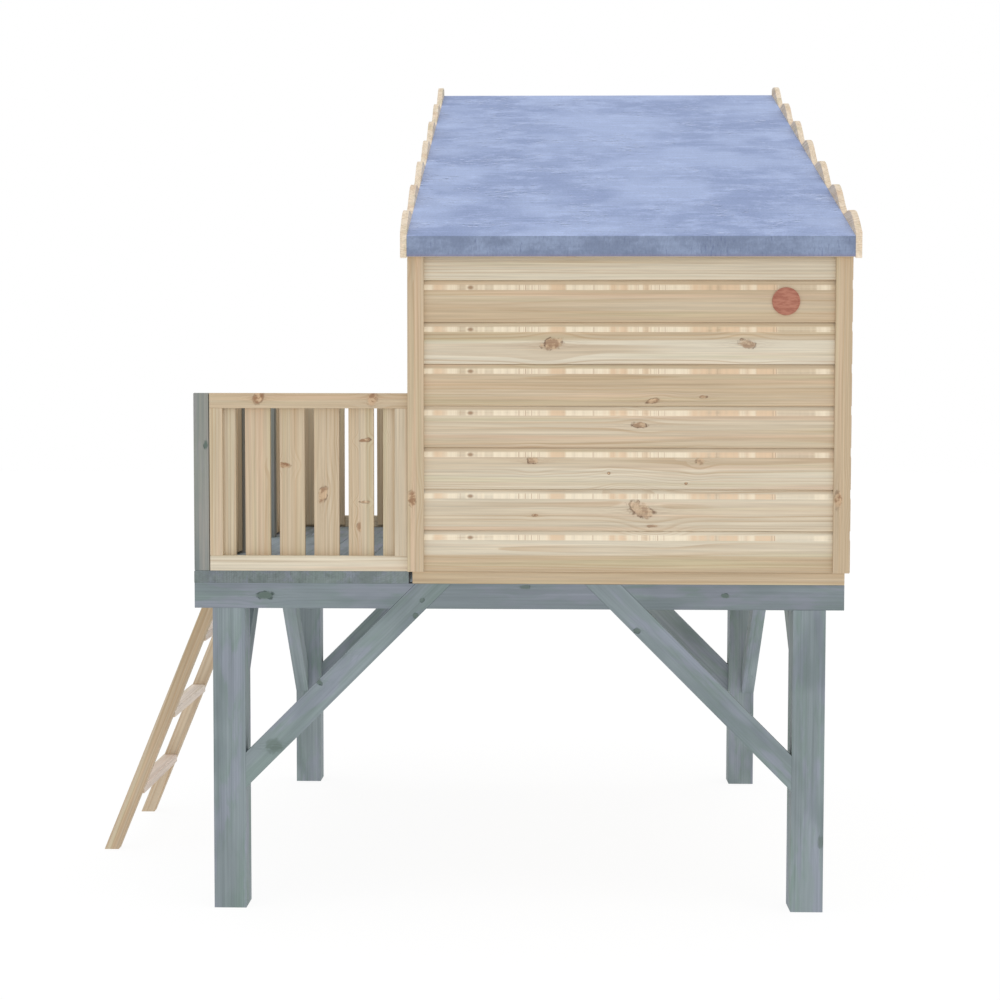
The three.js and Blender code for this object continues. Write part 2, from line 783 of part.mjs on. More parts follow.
// The window's outer trim, with a cross of glazing bars; it has no pane.
function addWindow() {
  const front = porchFace - windowTrimThickness;
  const reach = windowTrimWidth;
  const half = windowBarWidth / 2;
  const middle = (windowLow + windowHigh) / 2;
  const face = block([front, windowNear - reach, windowLow - reach],
    [porchFace, windowFar + reach, windowHigh + reach]);
  const panes = [];
  for (const [near, far] of [[windowNear, windowCentre - half], [windowCentre + half, windowFar]]) {
    for (const [low, high] of [[windowLow, middle - half], [middle + half, windowHigh]]) {
      panes.push(block([front - overrun, near, low], [porchFace + overrun, far, high]));
    }
  }
  place("window_trim", cut(face, ...panes), pine());
}

// The middle of a ladder stile, along X, at a given height.
function ladderMiddle(z) {
  return ladderFoot + ladderStileRun / 2 + z * ladderLean;
}

// A tread, as it lies between the stiles, grown all round by a margin where it is let into them.
function tread(index, margin) {
  const top = firstTread + index * treadSpacing;
  const middle = ladderMiddle(top - treadThickness / 2) + treadSetback;
  const inset = ladderStileThickness - treadHousing - margin;
  const low = [middle - treadDepth / 2 - margin, ladderNear + inset, top - treadThickness - margin];
  return block(low, [middle + treadDepth / 2 + margin, ladderFar - inset, top + margin]);
}

function addLadder() {
  const half = ladderStileRun / 2;
  const outline = [
    [ladderMiddle(0) - half, 0],
    [ladderMiddle(0) + half, 0],
    [ladderMiddle(beamTop) + half, beamTop],
    [ladderMiddle(beamTop) + half, floorTop],
    [ladderMiddle(floorTop) - half, floorTop],
  ];
  const housings = [];
  for (let i = 0; i < treadCount; i += 1) {
    housings.push(tread(i, fitGap));
    place(`ladder_tread_${i + 1}`, tread(i, 0), darkPine());
  }
  const near = prism("y", outline, ladderNear, ladderNear + ladderStileThickness);
  const far = prism("y", outline, ladderFar - ladderStileThickness, ladderFar);
  place("ladder_stile_near", cut(near, ...housings), darkPine());
  place("ladder_stile_far", cut(far, ...housings), darkPine());
}

// A plain round disc with a raised rim on the low wall.
function addWallDisc() {
  const z = roofUnderside(0) - discFromRoof;
  const profile = [
    [0, 0],
    [discRadius, 0],
    [discRadius, discThickness],
    [discRadius - discRim, discThickness],
    [discRadius - discRim, discThickness - discDish],
    [0, discThickness - discDish],
  ];
  const points = profile.map(([radius, out]) => new THREE.Vector2(radius, out));
  const body = new THREE.LatheGeometry(points, 2 * roundSegments).rotateX(Math.PI);
  place("wall_disc", body.translate(houseEnd - discFromBack, -claddingThickness, z), copper());
}

addLegs();
addBeams();
addBraces();
addPorchFloor();
addHouseFloor();
addRailing();
addCladding();
addCornerTrims();
addWallFrames();
addRoofPanel();
addFelt();
addBargeboards();
addRafter();
addDoorLeaf();
addKnob();
addHinges();
addWindow();
addLadder();
addWallDisc();

export default playhouse;
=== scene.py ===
"""The look of a stilt playhouse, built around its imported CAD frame.

A stained timber platform on four braced legs carries a boarded pine house with a single-slope felted
roof, a railed porch, a ladder and a hinged door. Metres, +Z up: X runs from the ladder to the back of
the house, Y from the low wall to the high wall.
"""

import json
import logging
import math
from collections.abc import Sequence
from dataclasses import dataclass, field
from enum import Enum
from functools import reduce

import bmesh
import bpy
import numpy as np
from mathutils import Matrix, Vector, noise

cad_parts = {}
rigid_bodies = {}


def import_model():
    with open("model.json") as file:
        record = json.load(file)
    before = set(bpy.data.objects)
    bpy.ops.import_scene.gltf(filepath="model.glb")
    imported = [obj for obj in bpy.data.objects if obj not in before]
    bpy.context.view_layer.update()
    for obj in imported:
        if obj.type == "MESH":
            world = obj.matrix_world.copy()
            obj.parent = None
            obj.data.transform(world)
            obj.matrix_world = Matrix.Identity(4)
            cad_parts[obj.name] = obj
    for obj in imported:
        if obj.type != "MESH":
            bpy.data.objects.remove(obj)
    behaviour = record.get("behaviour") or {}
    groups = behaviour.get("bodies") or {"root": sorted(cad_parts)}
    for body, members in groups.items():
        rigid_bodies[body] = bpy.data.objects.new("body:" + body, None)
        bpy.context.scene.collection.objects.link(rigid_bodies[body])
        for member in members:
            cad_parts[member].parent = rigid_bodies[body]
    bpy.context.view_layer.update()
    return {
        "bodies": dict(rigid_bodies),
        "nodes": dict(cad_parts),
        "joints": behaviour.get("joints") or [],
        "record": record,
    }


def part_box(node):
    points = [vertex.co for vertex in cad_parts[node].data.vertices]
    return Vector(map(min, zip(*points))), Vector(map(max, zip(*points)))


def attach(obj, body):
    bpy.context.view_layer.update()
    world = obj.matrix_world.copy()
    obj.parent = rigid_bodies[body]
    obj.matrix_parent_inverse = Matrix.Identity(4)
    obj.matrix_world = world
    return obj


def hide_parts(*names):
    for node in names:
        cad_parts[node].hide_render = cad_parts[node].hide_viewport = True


log = logging.getLogger("stilt_playhouse")

MM = 0.001
FELT_DROP = "felt_drop"
SHADER = "ShaderNodeTree"
GEOMETRY = "GeometryNodeTree"
MASKS = ("Heart", "Rim", "Tail", "Bend")

Triple = tuple[float, float, float]
Outline = Sequence[tuple[float, float]]
Surface = bmesh.types.BMesh
Material = bpy.types.Material
Socket = bpy.types.NodeSocket
Tree = bpy.types.NodeTree


class Body(Enum):
    """The two bodies that pieces ride on."""

    PLAYHOUSE = "playhouse"
    DOOR = "door"


class Slot(Enum):
    """The record's material slots."""

    STAINED = "stained_timber"
    RAILING = "pine_railing"
    CLADDING = "pine_cladding"
    TRIM = "pine_trim"
    FRAME = "pine_frame"
    DOOR = "pine_door"
    FELT = "roof_felt"
    STEEL = "hinge_steel"
    LADDER = "ladder_pine"
    COPPER = "copper_disc"


class Axis(Enum):
    """A direction that a timber or a row of boards runs in."""

    X = 0
    Y = 1
    Z = 2

    @property
    def vector(self) -> Vector:
        """The unit vector of this direction."""
        return Vector([float(i == self.value) for i in range(3)])


class Kind(Enum):
    """The kinds of socket that a node group has."""

    MESH = "NodeSocketGeometry"
    OBJECT = "NodeSocketObject"
    MATERIAL = "NodeSocketMaterial"
    VECTOR = "NodeSocketVector"
    VALUE = "NodeSocketFloat"
    COUNT = "NodeSocketInt"


class Grain(Enum):
    """The attributes that say how a timber's grain lies in it."""

    PLACE = "grain"
    LOG = "log_shift"
    LOOK = "board_look"
    REACH = "board_reach"


def srgb(red: int, green: int, blue: int) -> Triple:
    """Turns a colour as a screen shows it into linear light.

    Args:
        red: The red share, from 0 to 255.
        green: The green share.
        blue: The blue share.

    Returns:
        The linear colour, from 0 to 1.
    """
    knee, toe, offset, power = 0.04045, 12.92, 0.055, 2.4
    shares = [value / 255 for value in (red, green, blue)]
    return tuple(
        share / toe if share <= knee else ((share + offset) / (1 + offset)) ** power
        for share in shares
    )


class Graph:
    """Adds nodes to a tree and joins them, so that a formula takes one line a step."""

    def __init__(self, tree: Tree) -> None:
        """Keeps the tree that the nodes go into."""
        self.tree = tree

    def feed(self, socket: Socket, value: object) -> None:
        """Fills a socket.

        Args:
            socket: The socket.
            value: Another node's output, or a plain value.
        """
        if isinstance(value, Socket):
            self.tree.links.new(value, socket)
        else:
            socket.default_value = (*value, 1.0) if socket.type == "RGBA" else value

    def add(self, kind: str, inputs: dict | None = None, **settings: object) -> bpy.types.Node:
        """Adds a node.

        Args:
            kind: The node's type.
            inputs: Values or sockets, by the input's name or number.
            settings: The node's own options.

        Returns:
            The new node.
        """
        node = self.tree.nodes.new(kind)
        for name, value in settings.items():
            setattr(node, name, value)
        for key, value in (inputs or {}).items():
            self.feed(node.inputs[key], value)
        return node

    def calc(self, operation: str, *values: object, clamp: bool = False) -> Socket:
        """Adds one step of arithmetic and returns its result."""
        inputs = dict(enumerate(values))
        return self.add("ShaderNodeMath", inputs, operation=operation, use_clamp=clamp).outputs[0]

    def times(self, *values: object) -> Socket:
        """Multiplies two or more values and returns the result."""
        return reduce(lambda first, second: self.calc("MULTIPLY", first, second), values)

    def scaled(self, value: object, factor: object, start: object) -> Socket:
        """Multiplies a value by a factor and adds a start to it."""
        return self.calc("MULTIPLY_ADD", value, factor, start)

    def vector(self, operation: str, *values: object) -> Socket:
        """Adds one step of vector arithmetic and returns its result."""
        node = self.add("ShaderNodeVectorMath", dict(enumerate(values)), operation=operation)
        return node.outputs["Value" if operation in ("LENGTH", "DOT_PRODUCT") else "Vector"]

    def combine(self, x: object, y: object = 0.0, z: object = 0.0) -> Socket:
        """Joins three values into a vector."""
        return self.add("ShaderNodeCombineXYZ", {0: x, 1: y, 2: z}).outputs[0]

    def split(self, vector: object) -> Sequence[Socket]:
        """Splits a vector into its three values."""
        return self.add("ShaderNodeSeparateXYZ", {0: vector}).outputs

    def ease(self, value: object, low: object, high: object) -> Socket:
        """Rises smoothly from 0 at low to 1 at high."""
        inputs = {"Value": value, "From Min": low, "From Max": high}
        return self.add("ShaderNodeMapRange", inputs, interpolation_type="SMOOTHSTEP").outputs[0]

    def noise(
        self, place: object, scale: object, detail: float = 2.0, roughness: float = 0.5
    ) -> Socket:
        """Adds soft noise.

        Args:
            place: Where the noise is read.
            scale: How many bumps fit in a metre, as one number or as a vector.
            detail: How many finer layers it has.
            roughness: How strong the finer layers are.

        Returns:
            A value about 0.5.
        """
        if not isinstance(scale, float):
            place, scale = self.vector("MULTIPLY", place, scale), 1.0
        inputs = {"Vector": place, "Scale": scale, "Detail": detail, "Roughness": roughness}
        return self.add("ShaderNodeTexNoise", inputs).outputs[0]

    def patches(
        self, place: object, scale: object, detail: float, roughness: float, low: float,
        high: float,
    ) -> Socket:
        """Cuts noise into patches with soft edges.

        Args:
            place: Where the noise is read.
            scale: How many bumps fit in a metre.
            detail: How many finer layers it has.
            roughness: How strong the finer layers are.
            low: The noise under which the mask is 0.
            high: The noise over which it is 1.

        Returns:
            The mask.
        """
        return self.ease(self.noise(place, scale, detail, roughness), low, high)

    def mix(self, share: object, first: object, second: object, blend: str = "MIX") -> Socket:
        """Mixes two colours.

        Args:
            share: How much of the second one shows.
            first: The first colour.
            second: The second colour.
            blend: How the second one acts on the first.

        Returns:
            The mixed colour.
        """
        inputs = {0: share, 6: first, 7: second}
        return self.add("ShaderNodeMix", inputs, data_type="RGBA", blend_type=blend).outputs[2]

    def tint(self, colour: object, hue: object, mask: object, amount: float) -> Socket:
        """Mixes an amount of a hue into a colour where a mask lies."""
        return self.mix(self.times(mask, amount), colour, hue)

    def shade(self, colour: object, light: object) -> Socket:
        """Multiplies a colour by a value."""
        return self.mix(1.0, colour, self.combine(light, light, light), "MULTIPLY")

    def group(self, tree: Tree, **inputs: object) -> Sequence[Socket]:
        """Places a node group, feeds its inputs by name and returns its outputs."""
        kind = tree.bl_idname.replace("NodeTree", "NodeGroup")
        return tuple(self.add(kind, inputs, node_tree=tree).outputs)


class GroupGraph(Graph):
    """A node group with named inputs and outputs."""

    def __init__(
        self, name: str, tree_kind: str, inputs: dict[Kind, Sequence[str]],
        outputs: dict[Kind, Sequence[str]],
    ) -> None:
        """Makes the group and its sockets.

        Args:
            name: The group's name.
            tree_kind: The type of its tree.
            inputs: The names of the inputs of each kind.
            outputs: The names of the outputs of each kind.
        """
        super().__init__(bpy.data.node_groups.new(name, tree_kind))
        for way, sockets in (("INPUT", inputs), ("OUTPUT", outputs)):
            for kind, labels in sockets.items():
                for label in labels:
                    self.tree.interface.new_socket(label, in_out=way, socket_type=kind.value)
        self.inputs = self.add("NodeGroupInput").outputs
        self.end = self.add("NodeGroupOutput")

    def finish(self, **outputs: object) -> Tree:
        """Feeds the group's outputs.

        Args:
            outputs: The sockets to feed them from, by the output's name.

        Returns:
            The finished tree.
        """
        for name, socket in outputs.items():
            self.feed(self.end.inputs[name], socket)
        return self.tree

    def paint(self, geometry: Socket) -> Tree:
        """Makes a geometry's copies real, gives it the finish and ends the tree with it.

        Args:
            geometry: The geometry, as the tree has shaped it.

        Returns:
            The finished tree.
        """
        real = self.add("GeometryNodeRealizeInstances", {"Geometry": geometry})
        inputs = {"Geometry": real.outputs[0], "Material": self.inputs["Finish"]}
        return self.finish(Result=self.add("GeometryNodeSetMaterial", inputs).outputs[0])


def growth_ring_group() -> Tree:
    """Makes the group that cuts a timber's growth rings open on its faces.

    Returns:
        The group. Position is the place in the log: along it, and two ways across it from the pith.
    """
    inputs = {Kind.VECTOR: ["Position"], Kind.VALUE: ["Bend", "Width", "Wander"]}
    g = GroupGraph("growth_rings", SHADER, inputs, {Kind.VALUE: ["Late", "Fibre", "Streak"]})
    place = g.inputs["Position"]
    along, across, depth = g.split(place)
    slow = g.noise(place, (0.7, 4.0, 4.0))
    drift = g.times(g.calc("SUBTRACT", slow, 0.5), g.inputs["Wander"])
    ripple = g.scaled(g.noise(place, (3.0, 60.0, 60.0)), 1.8 * MM, drift)
    radius = g.vector("LENGTH", g.combine(g.calc("ADD", across, g.inputs["Bend"]), depth))
    rings = g.calc("DIVIDE", g.calc("ADD", radius, ripple), g.inputs["Width"])
    part = g.calc("FRACT", g.scaled(g.noise(g.combine(rings), 0.37, 1.0), 1.6, rings))
    strength = g.noise(g.combine(g.calc("FLOOR", rings), along), 1.7, 1.0)
    late = g.times(g.ease(part, 0.35, 0.9), g.ease(part, 1.0, 0.93), g.ease(strength, 0.25, 0.75))
    fibre = g.noise(place, (2.2, 150.0, 150.0), 4.0, 0.7)
    streak = g.noise(place, (0.6, 50.0, 50.0), 4.0, 0.6)
    return g.finish(Late=late, Fibre=fibre, Streak=streak)


def knot_masks(
    g: Graph, reach: Socket, place: Socket, across: Socket, along: Socket, girth: Socket
) -> dict[str, Socket]:
    """Shapes the parts of a knot.

    Args:
        g: The tree.
        reach: The distance from the knot's middle, as a share of its half size.
        place: The place, for the noise.
        across: The distance from the middle across the grain.
        along: The distance from the middle along the grain, as a share of the half length.
        girth: The knot's half size across the grain.

    Returns:
        The masks of its heart, of its ragged rim and of the streaks that run out of it, and how
        far it bends the grain.
    """
    ragged = g.calc("ADD", reach, g.scaled(g.noise(place, 55.0, 4.0, 0.65), 1.3, -0.65))
    band = g.calc("ABSOLUTE", g.calc("SUBTRACT", ragged, 0.88))
    rim = g.times(g.ease(band, 0.24, 0.02), g.patches(place, 40.0, 2.0, 0.6, 0.44, 0.6))
    share = g.calc("DIVIDE", across, girth)
    narrow = g.calc("EXPONENT", g.times(share, share, -2.2))
    fade = g.calc("EXPONENT", g.times(along, -0.6))
    thread = g.patches(g.combine(g.times(across, 300.0), along), 1.0, 2.0, 0.5, 0.38, 0.6)
    fall = g.calc("EXPONENT", g.times(reach, reach, -0.16))
    parts = (g.ease(ragged, 1.05, 0.6), rim, g.times(narrow, fade, thread), g.times(across, fall, -0.85))
    return dict(zip(MASKS, parts))


def placed_knot_group() -> Tree:
    """Makes the group that adds one knot at a chosen place to the knots before it.

    Returns:
        The group. Size is half the knot's size, and Core and Edge say how strong its heart and its
        rim are. The inputs that are named as the masks take those of the knots before it.
    """
    numbers = ["Girth", "Length", "Turn", "Core", "Edge", *MASKS]
    inputs = {Kind.VECTOR: ["Position", "Centre", "Size", "Across"], Kind.VALUE: numbers}
    g = GroupGraph("placed_knot", SHADER, inputs, {Kind.VALUE: MASKS})
    ins = g.inputs
    turn = {"Vector": ins["Position"], "Center": ins["Centre"], "Angle": ins["Turn"]}
    turned = g.add("ShaderNodeVectorRotate", turn, rotation_type="Y_AXIS").outputs[0]
    offset = g.vector("SUBTRACT", turned, ins["Centre"])
    reach = g.vector("LENGTH", g.vector("DIVIDE", offset, ins["Size"]))
    plain = g.vector("SUBTRACT", ins["Position"], ins["Centre"])
    across = g.vector("DOT_PRODUCT", plain, ins["Across"])
    square = g.calc("SUBTRACT", g.vector("DOT_PRODUCT", plain, plain), g.times(across, across))
    span = g.calc("SQRT", g.calc("MAXIMUM", 0.0, square))
    along = g.calc("DIVIDE", span, ins["Length"])
    masks = knot_masks(g, reach, ins["Position"], across, along, ins["Girth"])
    for name, strength in (("Heart", "Core"), ("Rim", "Edge")):
        masks[name] = g.times(masks[name], ins[strength])
    joined = {
        name: g.calc("ADD" if name == "Bend" else "MAXIMUM", mask, ins[name])
        for name, mask in masks.items()
    }
    return g.finish(**joined)


def scattered_knot_group() -> Tree:
    """Makes the group that scatters knots at random over a timber.

    Returns:
        The group. Share is the part of its places that hold a knot, and Radius a large knot's.
    """
    inputs = {Kind.VECTOR: ["Position"], Kind.VALUE: ["Share", "Radius"]}
    g = GroupGraph("scattered_knots", SHADER, inputs, {Kind.VALUE: MASKS})
    squeeze = 2.4
    flat = g.vector("MULTIPLY", g.inputs["Position"], (1.0, squeeze, 0.0))
    cells = g.add("ShaderNodeTexVoronoi", {"Vector": flat, "Scale": 3.6}).outputs
    chance, size, _ = g.split(cells["Color"])
    radius = g.times(g.inputs["Radius"], g.scaled(size, 0.7, 0.3))
    offset = g.vector("SUBTRACT", flat, cells["Position"])
    offset = g.vector("MULTIPLY", offset, (0.8, 1.0 / squeeze, 0.0))
    along, across, _ = g.split(offset)
    reach = g.calc("DIVIDE", g.vector("LENGTH", offset), radius)
    along = g.calc("DIVIDE", g.calc("ABSOLUTE", along), radius)
    there = g.calc("LESS_THAN", chance, g.inputs["Share"])
    masks = knot_masks(g, reach, g.inputs["Position"], across, along, radius)
    masks = {name: g.times(mask, there) for name, mask in masks.items()}
    masks["Heart"] = g.times(masks["Heart"], 0.7)
    return g.finish(**masks)


@dataclass
class Patterns:
    """What the timber finishes share.

    The corner is the platform's near porch corner, which the knots' places are measured from.
    """

    corner: Vector
    rings: Tree = field(default_factory=growth_ring_group)
    placed_knot: Tree = field(default_factory=placed_knot_group)
    scattered_knots: Tree = field(default_factory=scattered_knot_group)


@dataclass(frozen=True)
class Knot:
    """One knot on a face that looks towards the low wall's side."""

    x: float
    z: float
    width: float
    height: float
    turn: float
    core: float
    edge: float
    y: float = 0.0


class MaterialGraph(Graph):
    """A material's tree, with its Principled shader."""

    def __init__(self, name: str) -> None:
        """Makes an empty material.

        Args:
            name: The material's name.
        """
        self.material = bpy.data.materials.new(name)
        self.material.use_nodes = True
        super().__init__(self.material.node_tree)
        self.shader = self.tree.nodes["Principled BSDF"]

    def attribute(self, name: str) -> Socket:
        """Reads a vector attribute of the mesh."""
        return self.add("ShaderNodeAttribute", attribute_name=name).outputs["Vector"]

    def place(self) -> Socket:
        """Reads the place on the piece."""
        return self.add("ShaderNodeTexCoord").outputs["Object"]

    def dress(self, colour: object, roughness: object, height: object, depth: float) -> Material:
        """Feeds the shader.

        Args:
            colour: The base colour.
            roughness: The roughness.
            height: The bump's height, from 0 to 1.
            depth: How deep the bump is, in metres.

        Returns:
            The material.
        """
        bump = self.add("ShaderNodeBump", {"Height": height, "Distance": depth, "Strength": 1.0})
        inputs = {"Base Color": colour, "Roughness": roughness, "Normal": bump.outputs[0]}
        for name, value in inputs.items():
            self.feed(self.shader.inputs[name], value)
        return self.material


@dataclass(frozen=True)
class Wood:
    """A timber's finish: its name, the record's slot and how the timber grew."""

    name: str
    slot: Slot
    ring_width: float = 5 * MM
    wander: float = 16 * MM
    knots: tuple[Knot, ...] = ()
    across: Triple = (0.0, 0.0, 1.0)
    knot_share: float = 0.25
    knot_radius: float = 15 * MM


class WoodGraph(MaterialGraph):
    """A timber's material, with the place in its log, its knots and its growth rings."""

    knot_depth = 90 * MM

    def __init__(self, wood: Wood, patterns: Patterns) -> None:
        """Lays the knots and the rings.

        Args:
            wood: How the timber grew.
            patterns: What the finishes share.
        """
        super().__init__(wood.name)
        grain = self.attribute(Grain.PLACE.value)
        self.along, self.across, _ = self.split(grain)
        self.log = self.vector("ADD", grain, self.attribute(Grain.LOG.value))
        self.heart, self.rim, self.tail, bend = self._knots(wood, patterns)
        self.late, self.fibre, self.streak = self.group(
            patterns.rings, Position=self.log, Bend=bend, Width=wood.ring_width, Wander=wood.wander
        )

    def _knots(self, wood: Wood, patterns: Patterns) -> Sequence[object]:
        """Adds the random knots, and then the ones at chosen places.

        Args:
            wood: How the timber grew.
            patterns: What the finishes share.

        Returns:
            The masks of the knots' hearts, rims and tails, and how far they bend the grain.
        """
        masks = (0.0,) * len(MASKS)
        if wood.knot_share:
            shares = {"Share": wood.knot_share, "Radius": wood.knot_radius}
            masks = self.group(patterns.scattered_knots, Position=self.log, **shares)
        place = self.place()
        for knot in wood.knots:
            half = Vector((knot.width / 2, self.knot_depth, knot.height / 2))
            girth, length = (half.z, half.x) if wood.across[2] else (half.x, half.z)
            masks = self.group(
                patterns.placed_knot, Position=place, Size=half, Across=wood.across, Girth=girth,
                Centre=patterns.corner + Vector((knot.x, knot.y, knot.z)), Length=length,
                Turn=knot.turn, Core=knot.core, Edge=knot.edge, **dict(zip(MASKS, masks)),
            )
        return masks

    def end_grain(self) -> Socket:
        """Masks the sawn ends of a timber.

        Returns:
            The mask.
        """
        half = self.split(self.attribute(Grain.REACH.value))[0]
        gap = self.calc("SUBTRACT", half, self.calc("ABSOLUTE", self.along))
        return self.ease(gap, 1.0 * MM, 0.3 * MM)

    def dress_wood(self, colour: Socket, rough: float, shine: float, depth: float) -> Material:
        """Feeds the shader of a timber whose late rings stand out and shine.

        Args:
            colour: The base colour.
            rough: The roughness between the late rings.
            shine: How much less rough the late rings are.
            depth: How deep the grain's relief is, in metres.

        Returns:
            The material.
        """
        height = self.scaled(self.late, 0.4, self.times(self.fibre, 0.6))
        return self.dress(colour, self.scaled(self.late, -shine, rough), height, depth)


@dataclass(frozen=True)
class Pine(Wood):
    """Bare planed pine.

    Each board's tone runs from pale sapwood, 0, to tan heartwood, 1, and may change on a line along the
    board. Cladding has a scoop, which starts at scoop_from across the board, carries a painted highlight
    on its lower part where it faces up to the light, and may have a dark spot at scoop_knot along it.
    """

    pale: Triple = srgb(219, 209, 188)
    tan: Triple = srgb(197, 176, 146)
    late: Triple = srgb(178, 146, 108)
    pink: Triple = srgb(216, 184, 156)
    sage: Triple = srgb(196, 188, 152)
    heart: Triple = srgb(150, 113, 82)
    heart_pale: Triple = srgb(204, 174, 140)
    rim: Triple = srgb(104, 74, 52)
    end: Triple = srgb(214, 188, 156)
    # Painted highlight colours for the upturned face of the cladding's scoop.
    scoop_highlight: Triple = srgb(254, 240, 214)
    warm_highlight: Triple = srgb(236, 206, 172)
    tick: Triple = srgb(196, 166, 136)
    ring_contrast: float = 0.55
    scoop_from: float = 0.0
    scoop_knot: float = 0.0

    def build(self, patterns: Patterns) -> Material:
        """Makes the material.

        Args:
            patterns: What the finishes share.

        Returns:
            The material.
        """
        g = WoodGraph(self, patterns)
        upper, lower, boundary = g.split(g.attribute(Grain.LOOK.value))
        shore = g.noise(g.log, (0.8, 6.0, 6.0), 3.0)
        level = g.scaled(shore, 10 * MM, g.calc("SUBTRACT", g.across, 5 * MM))
        side = g.ease(g.calc("SUBTRACT", level, boundary), -4 * MM, 4 * MM)
        tone = g.add("ShaderNodeMix", {0: side, 2: lower, 3: upper}).outputs[0]
        tone = g.calc("ADD", tone, g.scaled(g.streak, 1.5, -0.75), clamp=True)
        colour = g.mix(tone, self.pale, self.tan)
        for shift, hue in ((3.1, self.pink), (7.7, self.sage)):
            place = g.vector("ADD", g.log, (shift,) * 3)
            colour = g.tint(colour, hue, g.patches(place, (0.9, 36.0, 36.0), 2.0, 0.5, 0.5, 0.75), 0.5)
        colour = g.tint(colour, self.late, g.late, self.ring_contrast)
        colour = g.tint(colour, self.heart, g.tail, 0.6)
        flesh = g.patches(g.log, 60.0, 3.0, 0.6, 0.4, 0.6)
        colour = g.mix(g.heart, colour, g.mix(flesh, self.heart, self.heart_pale))
        colour = g.tint(colour, self.rim, g.rim, 0.85)
        colour = g.shade(colour, g.scaled(g.fibre, 0.8, 0.62))
        colour = g.tint(colour, self.end, g.end_grain(), 0.6)
        # Painted highlight on the cladding's scoops.
        if self.scoop_from:
            colour = self._scoop_highlight(g, colour)
        return g.dress_wood(colour, 0.72, 0.12, 0.25 * MM)

    def _scoop_highlight(self, g: WoodGraph, colour: Socket) -> Socket:
        """Paints a highlight on the lower part of a cladding board's scoop, where it faces up to the
        light, in patches with fine ticks.

        Args:
            g: The material's tree.
            colour: The board's colour.

        Returns:
            The colour with the scoop's painted highlight.
        """

        def spots(shift: float, *pattern: float) -> Socket:
            """Cuts noise along the board into patches."""
            return g.patches(g.combine(g.along, 0.0, shift), *pattern)

        start = self.scoop_from
        scoop = g.ease(g.across, start - 0.5 * MM, start + 0.5 * MM)
        low = g.times(scoop, g.ease(g.across, start + 17 * MM, start + 12 * MM))
        patch = g.scaled(spots(7.3, 5.0, 4.0, 0.7, 0.45, 0.51), 0.7, 0.26)
        fleck = g.scaled(spots(5.0, 70.0, 3.0, 0.7, 0.3, 0.6), 0.4, 0.6)
        # Painted highlight: whitening patches on the scoop's lower part, plus a faint whitening over the
        # whole scoop, stand for the light on its upturned face.
        highlight_share = g.scaled(g.times(patch, low, fleck), 0.8, g.times(scoop, 0.06))
        warm_highlight = spots(2.1, 6.0, 3.0, 0.7, 0.52, 0.58)
        colour = g.mix(highlight_share, colour, g.mix(warm_highlight, self.scoop_highlight, self.warm_highlight))
        fine, where = spots(0.0, 230.0, 1.0, 0.5, 0.5, 0.66), spots(3.0, 9.0, 2.0, 0.5, 0.52, 0.58)
        colour = g.tint(colour, self.tick, g.times(fine, where, low), 0.8)
        if not self.scoop_knot:
            return colour
        middle = (self.scoop_knot, start + 7 * MM, 0.0)
        offset = g.vector("SUBTRACT", g.combine(g.along, g.across), middle)
        reach = g.vector("LENGTH", g.vector("DIVIDE", offset, (10 * MM, 6 * MM, 1.0)))
        return g.tint(colour, self.heart, g.ease(reach, 1.2, 0.3), 0.75)


@dataclass(frozen=True)
class StainedTimber(Wood):
    """Sawn softwood under a thin blue-grey stain.

    Comb is how strongly the sawn ends are combed with fine upright lines.
    """

    ring_width: float = 6 * MM
    wander: float = 18 * MM
    knot_share: float = 0.15
    grey: Triple = srgb(136, 147, 151)
    green: Triple = srgb(124, 141, 137)
    violet: Triple = srgb(140, 147, 158)
    dark: Triple = srgb(102, 115, 117)
    heart: Triple = srgb(90, 106, 98)
    rim: Triple = srgb(54, 70, 66)
    end_tint: Triple = srgb(230, 230, 219)
    comb: float = 0.0

    def build(self, patterns: Patterns) -> Material:
        """Makes the material.

        Args:
            patterns: What the finishes share.

        Returns:
            The material.
        """
        g = WoodGraph(self, patterns)
        patch = g.patches(g.log, (2.6, 13.0, 13.0), 4.0, 0.6, 0.42, 0.6)
        other = g.patches(g.log, (5.2, 22.1, 22.1), 3.0, 0.6, 0.48, 0.62)
        cloud = g.patches(g.log, (4.0, 11.2, 11.2), 2.0, 0.5, 0.5, 0.7)
        colour = g.mix(other, g.mix(patch, self.grey, self.green), self.violet)
        for mask, amount in ((cloud, 0.5), (g.ease(g.streak, 0.48, 0.8), 0.7), (g.late, 0.36)):
            colour = g.tint(colour, self.dark, mask, amount)
        broad = g.patches(g.log, (1.6, 6.0, 6.0), 2.0, 0.5, 0.38, 0.62)
        light = g.scaled(g.fibre, 0.56, g.scaled(broad, 0.16, 0.68))
        if self.comb:
            end = g.end_grain()
            lines = g.patches(g.combine(g.split(g.place())[0]), 330.0, 1.0, 0.5, 0.35, 0.65)
            light = g.calc("ADD", light, g.times(lines, end, -self.comb))
            colour = g.mix(end, colour, self.end_tint, "MULTIPLY")
        colour = g.shade(colour, light)
        colour = g.tint(colour, self.heart, g.tail, 0.6)
        colour = g.tint(colour, self.heart, g.heart, 0.9)
        colour = g.tint(colour, self.rim, g.rim, 0.9)
        return g.dress_wood(colour, 0.78, 0.15, 0.35 * MM)


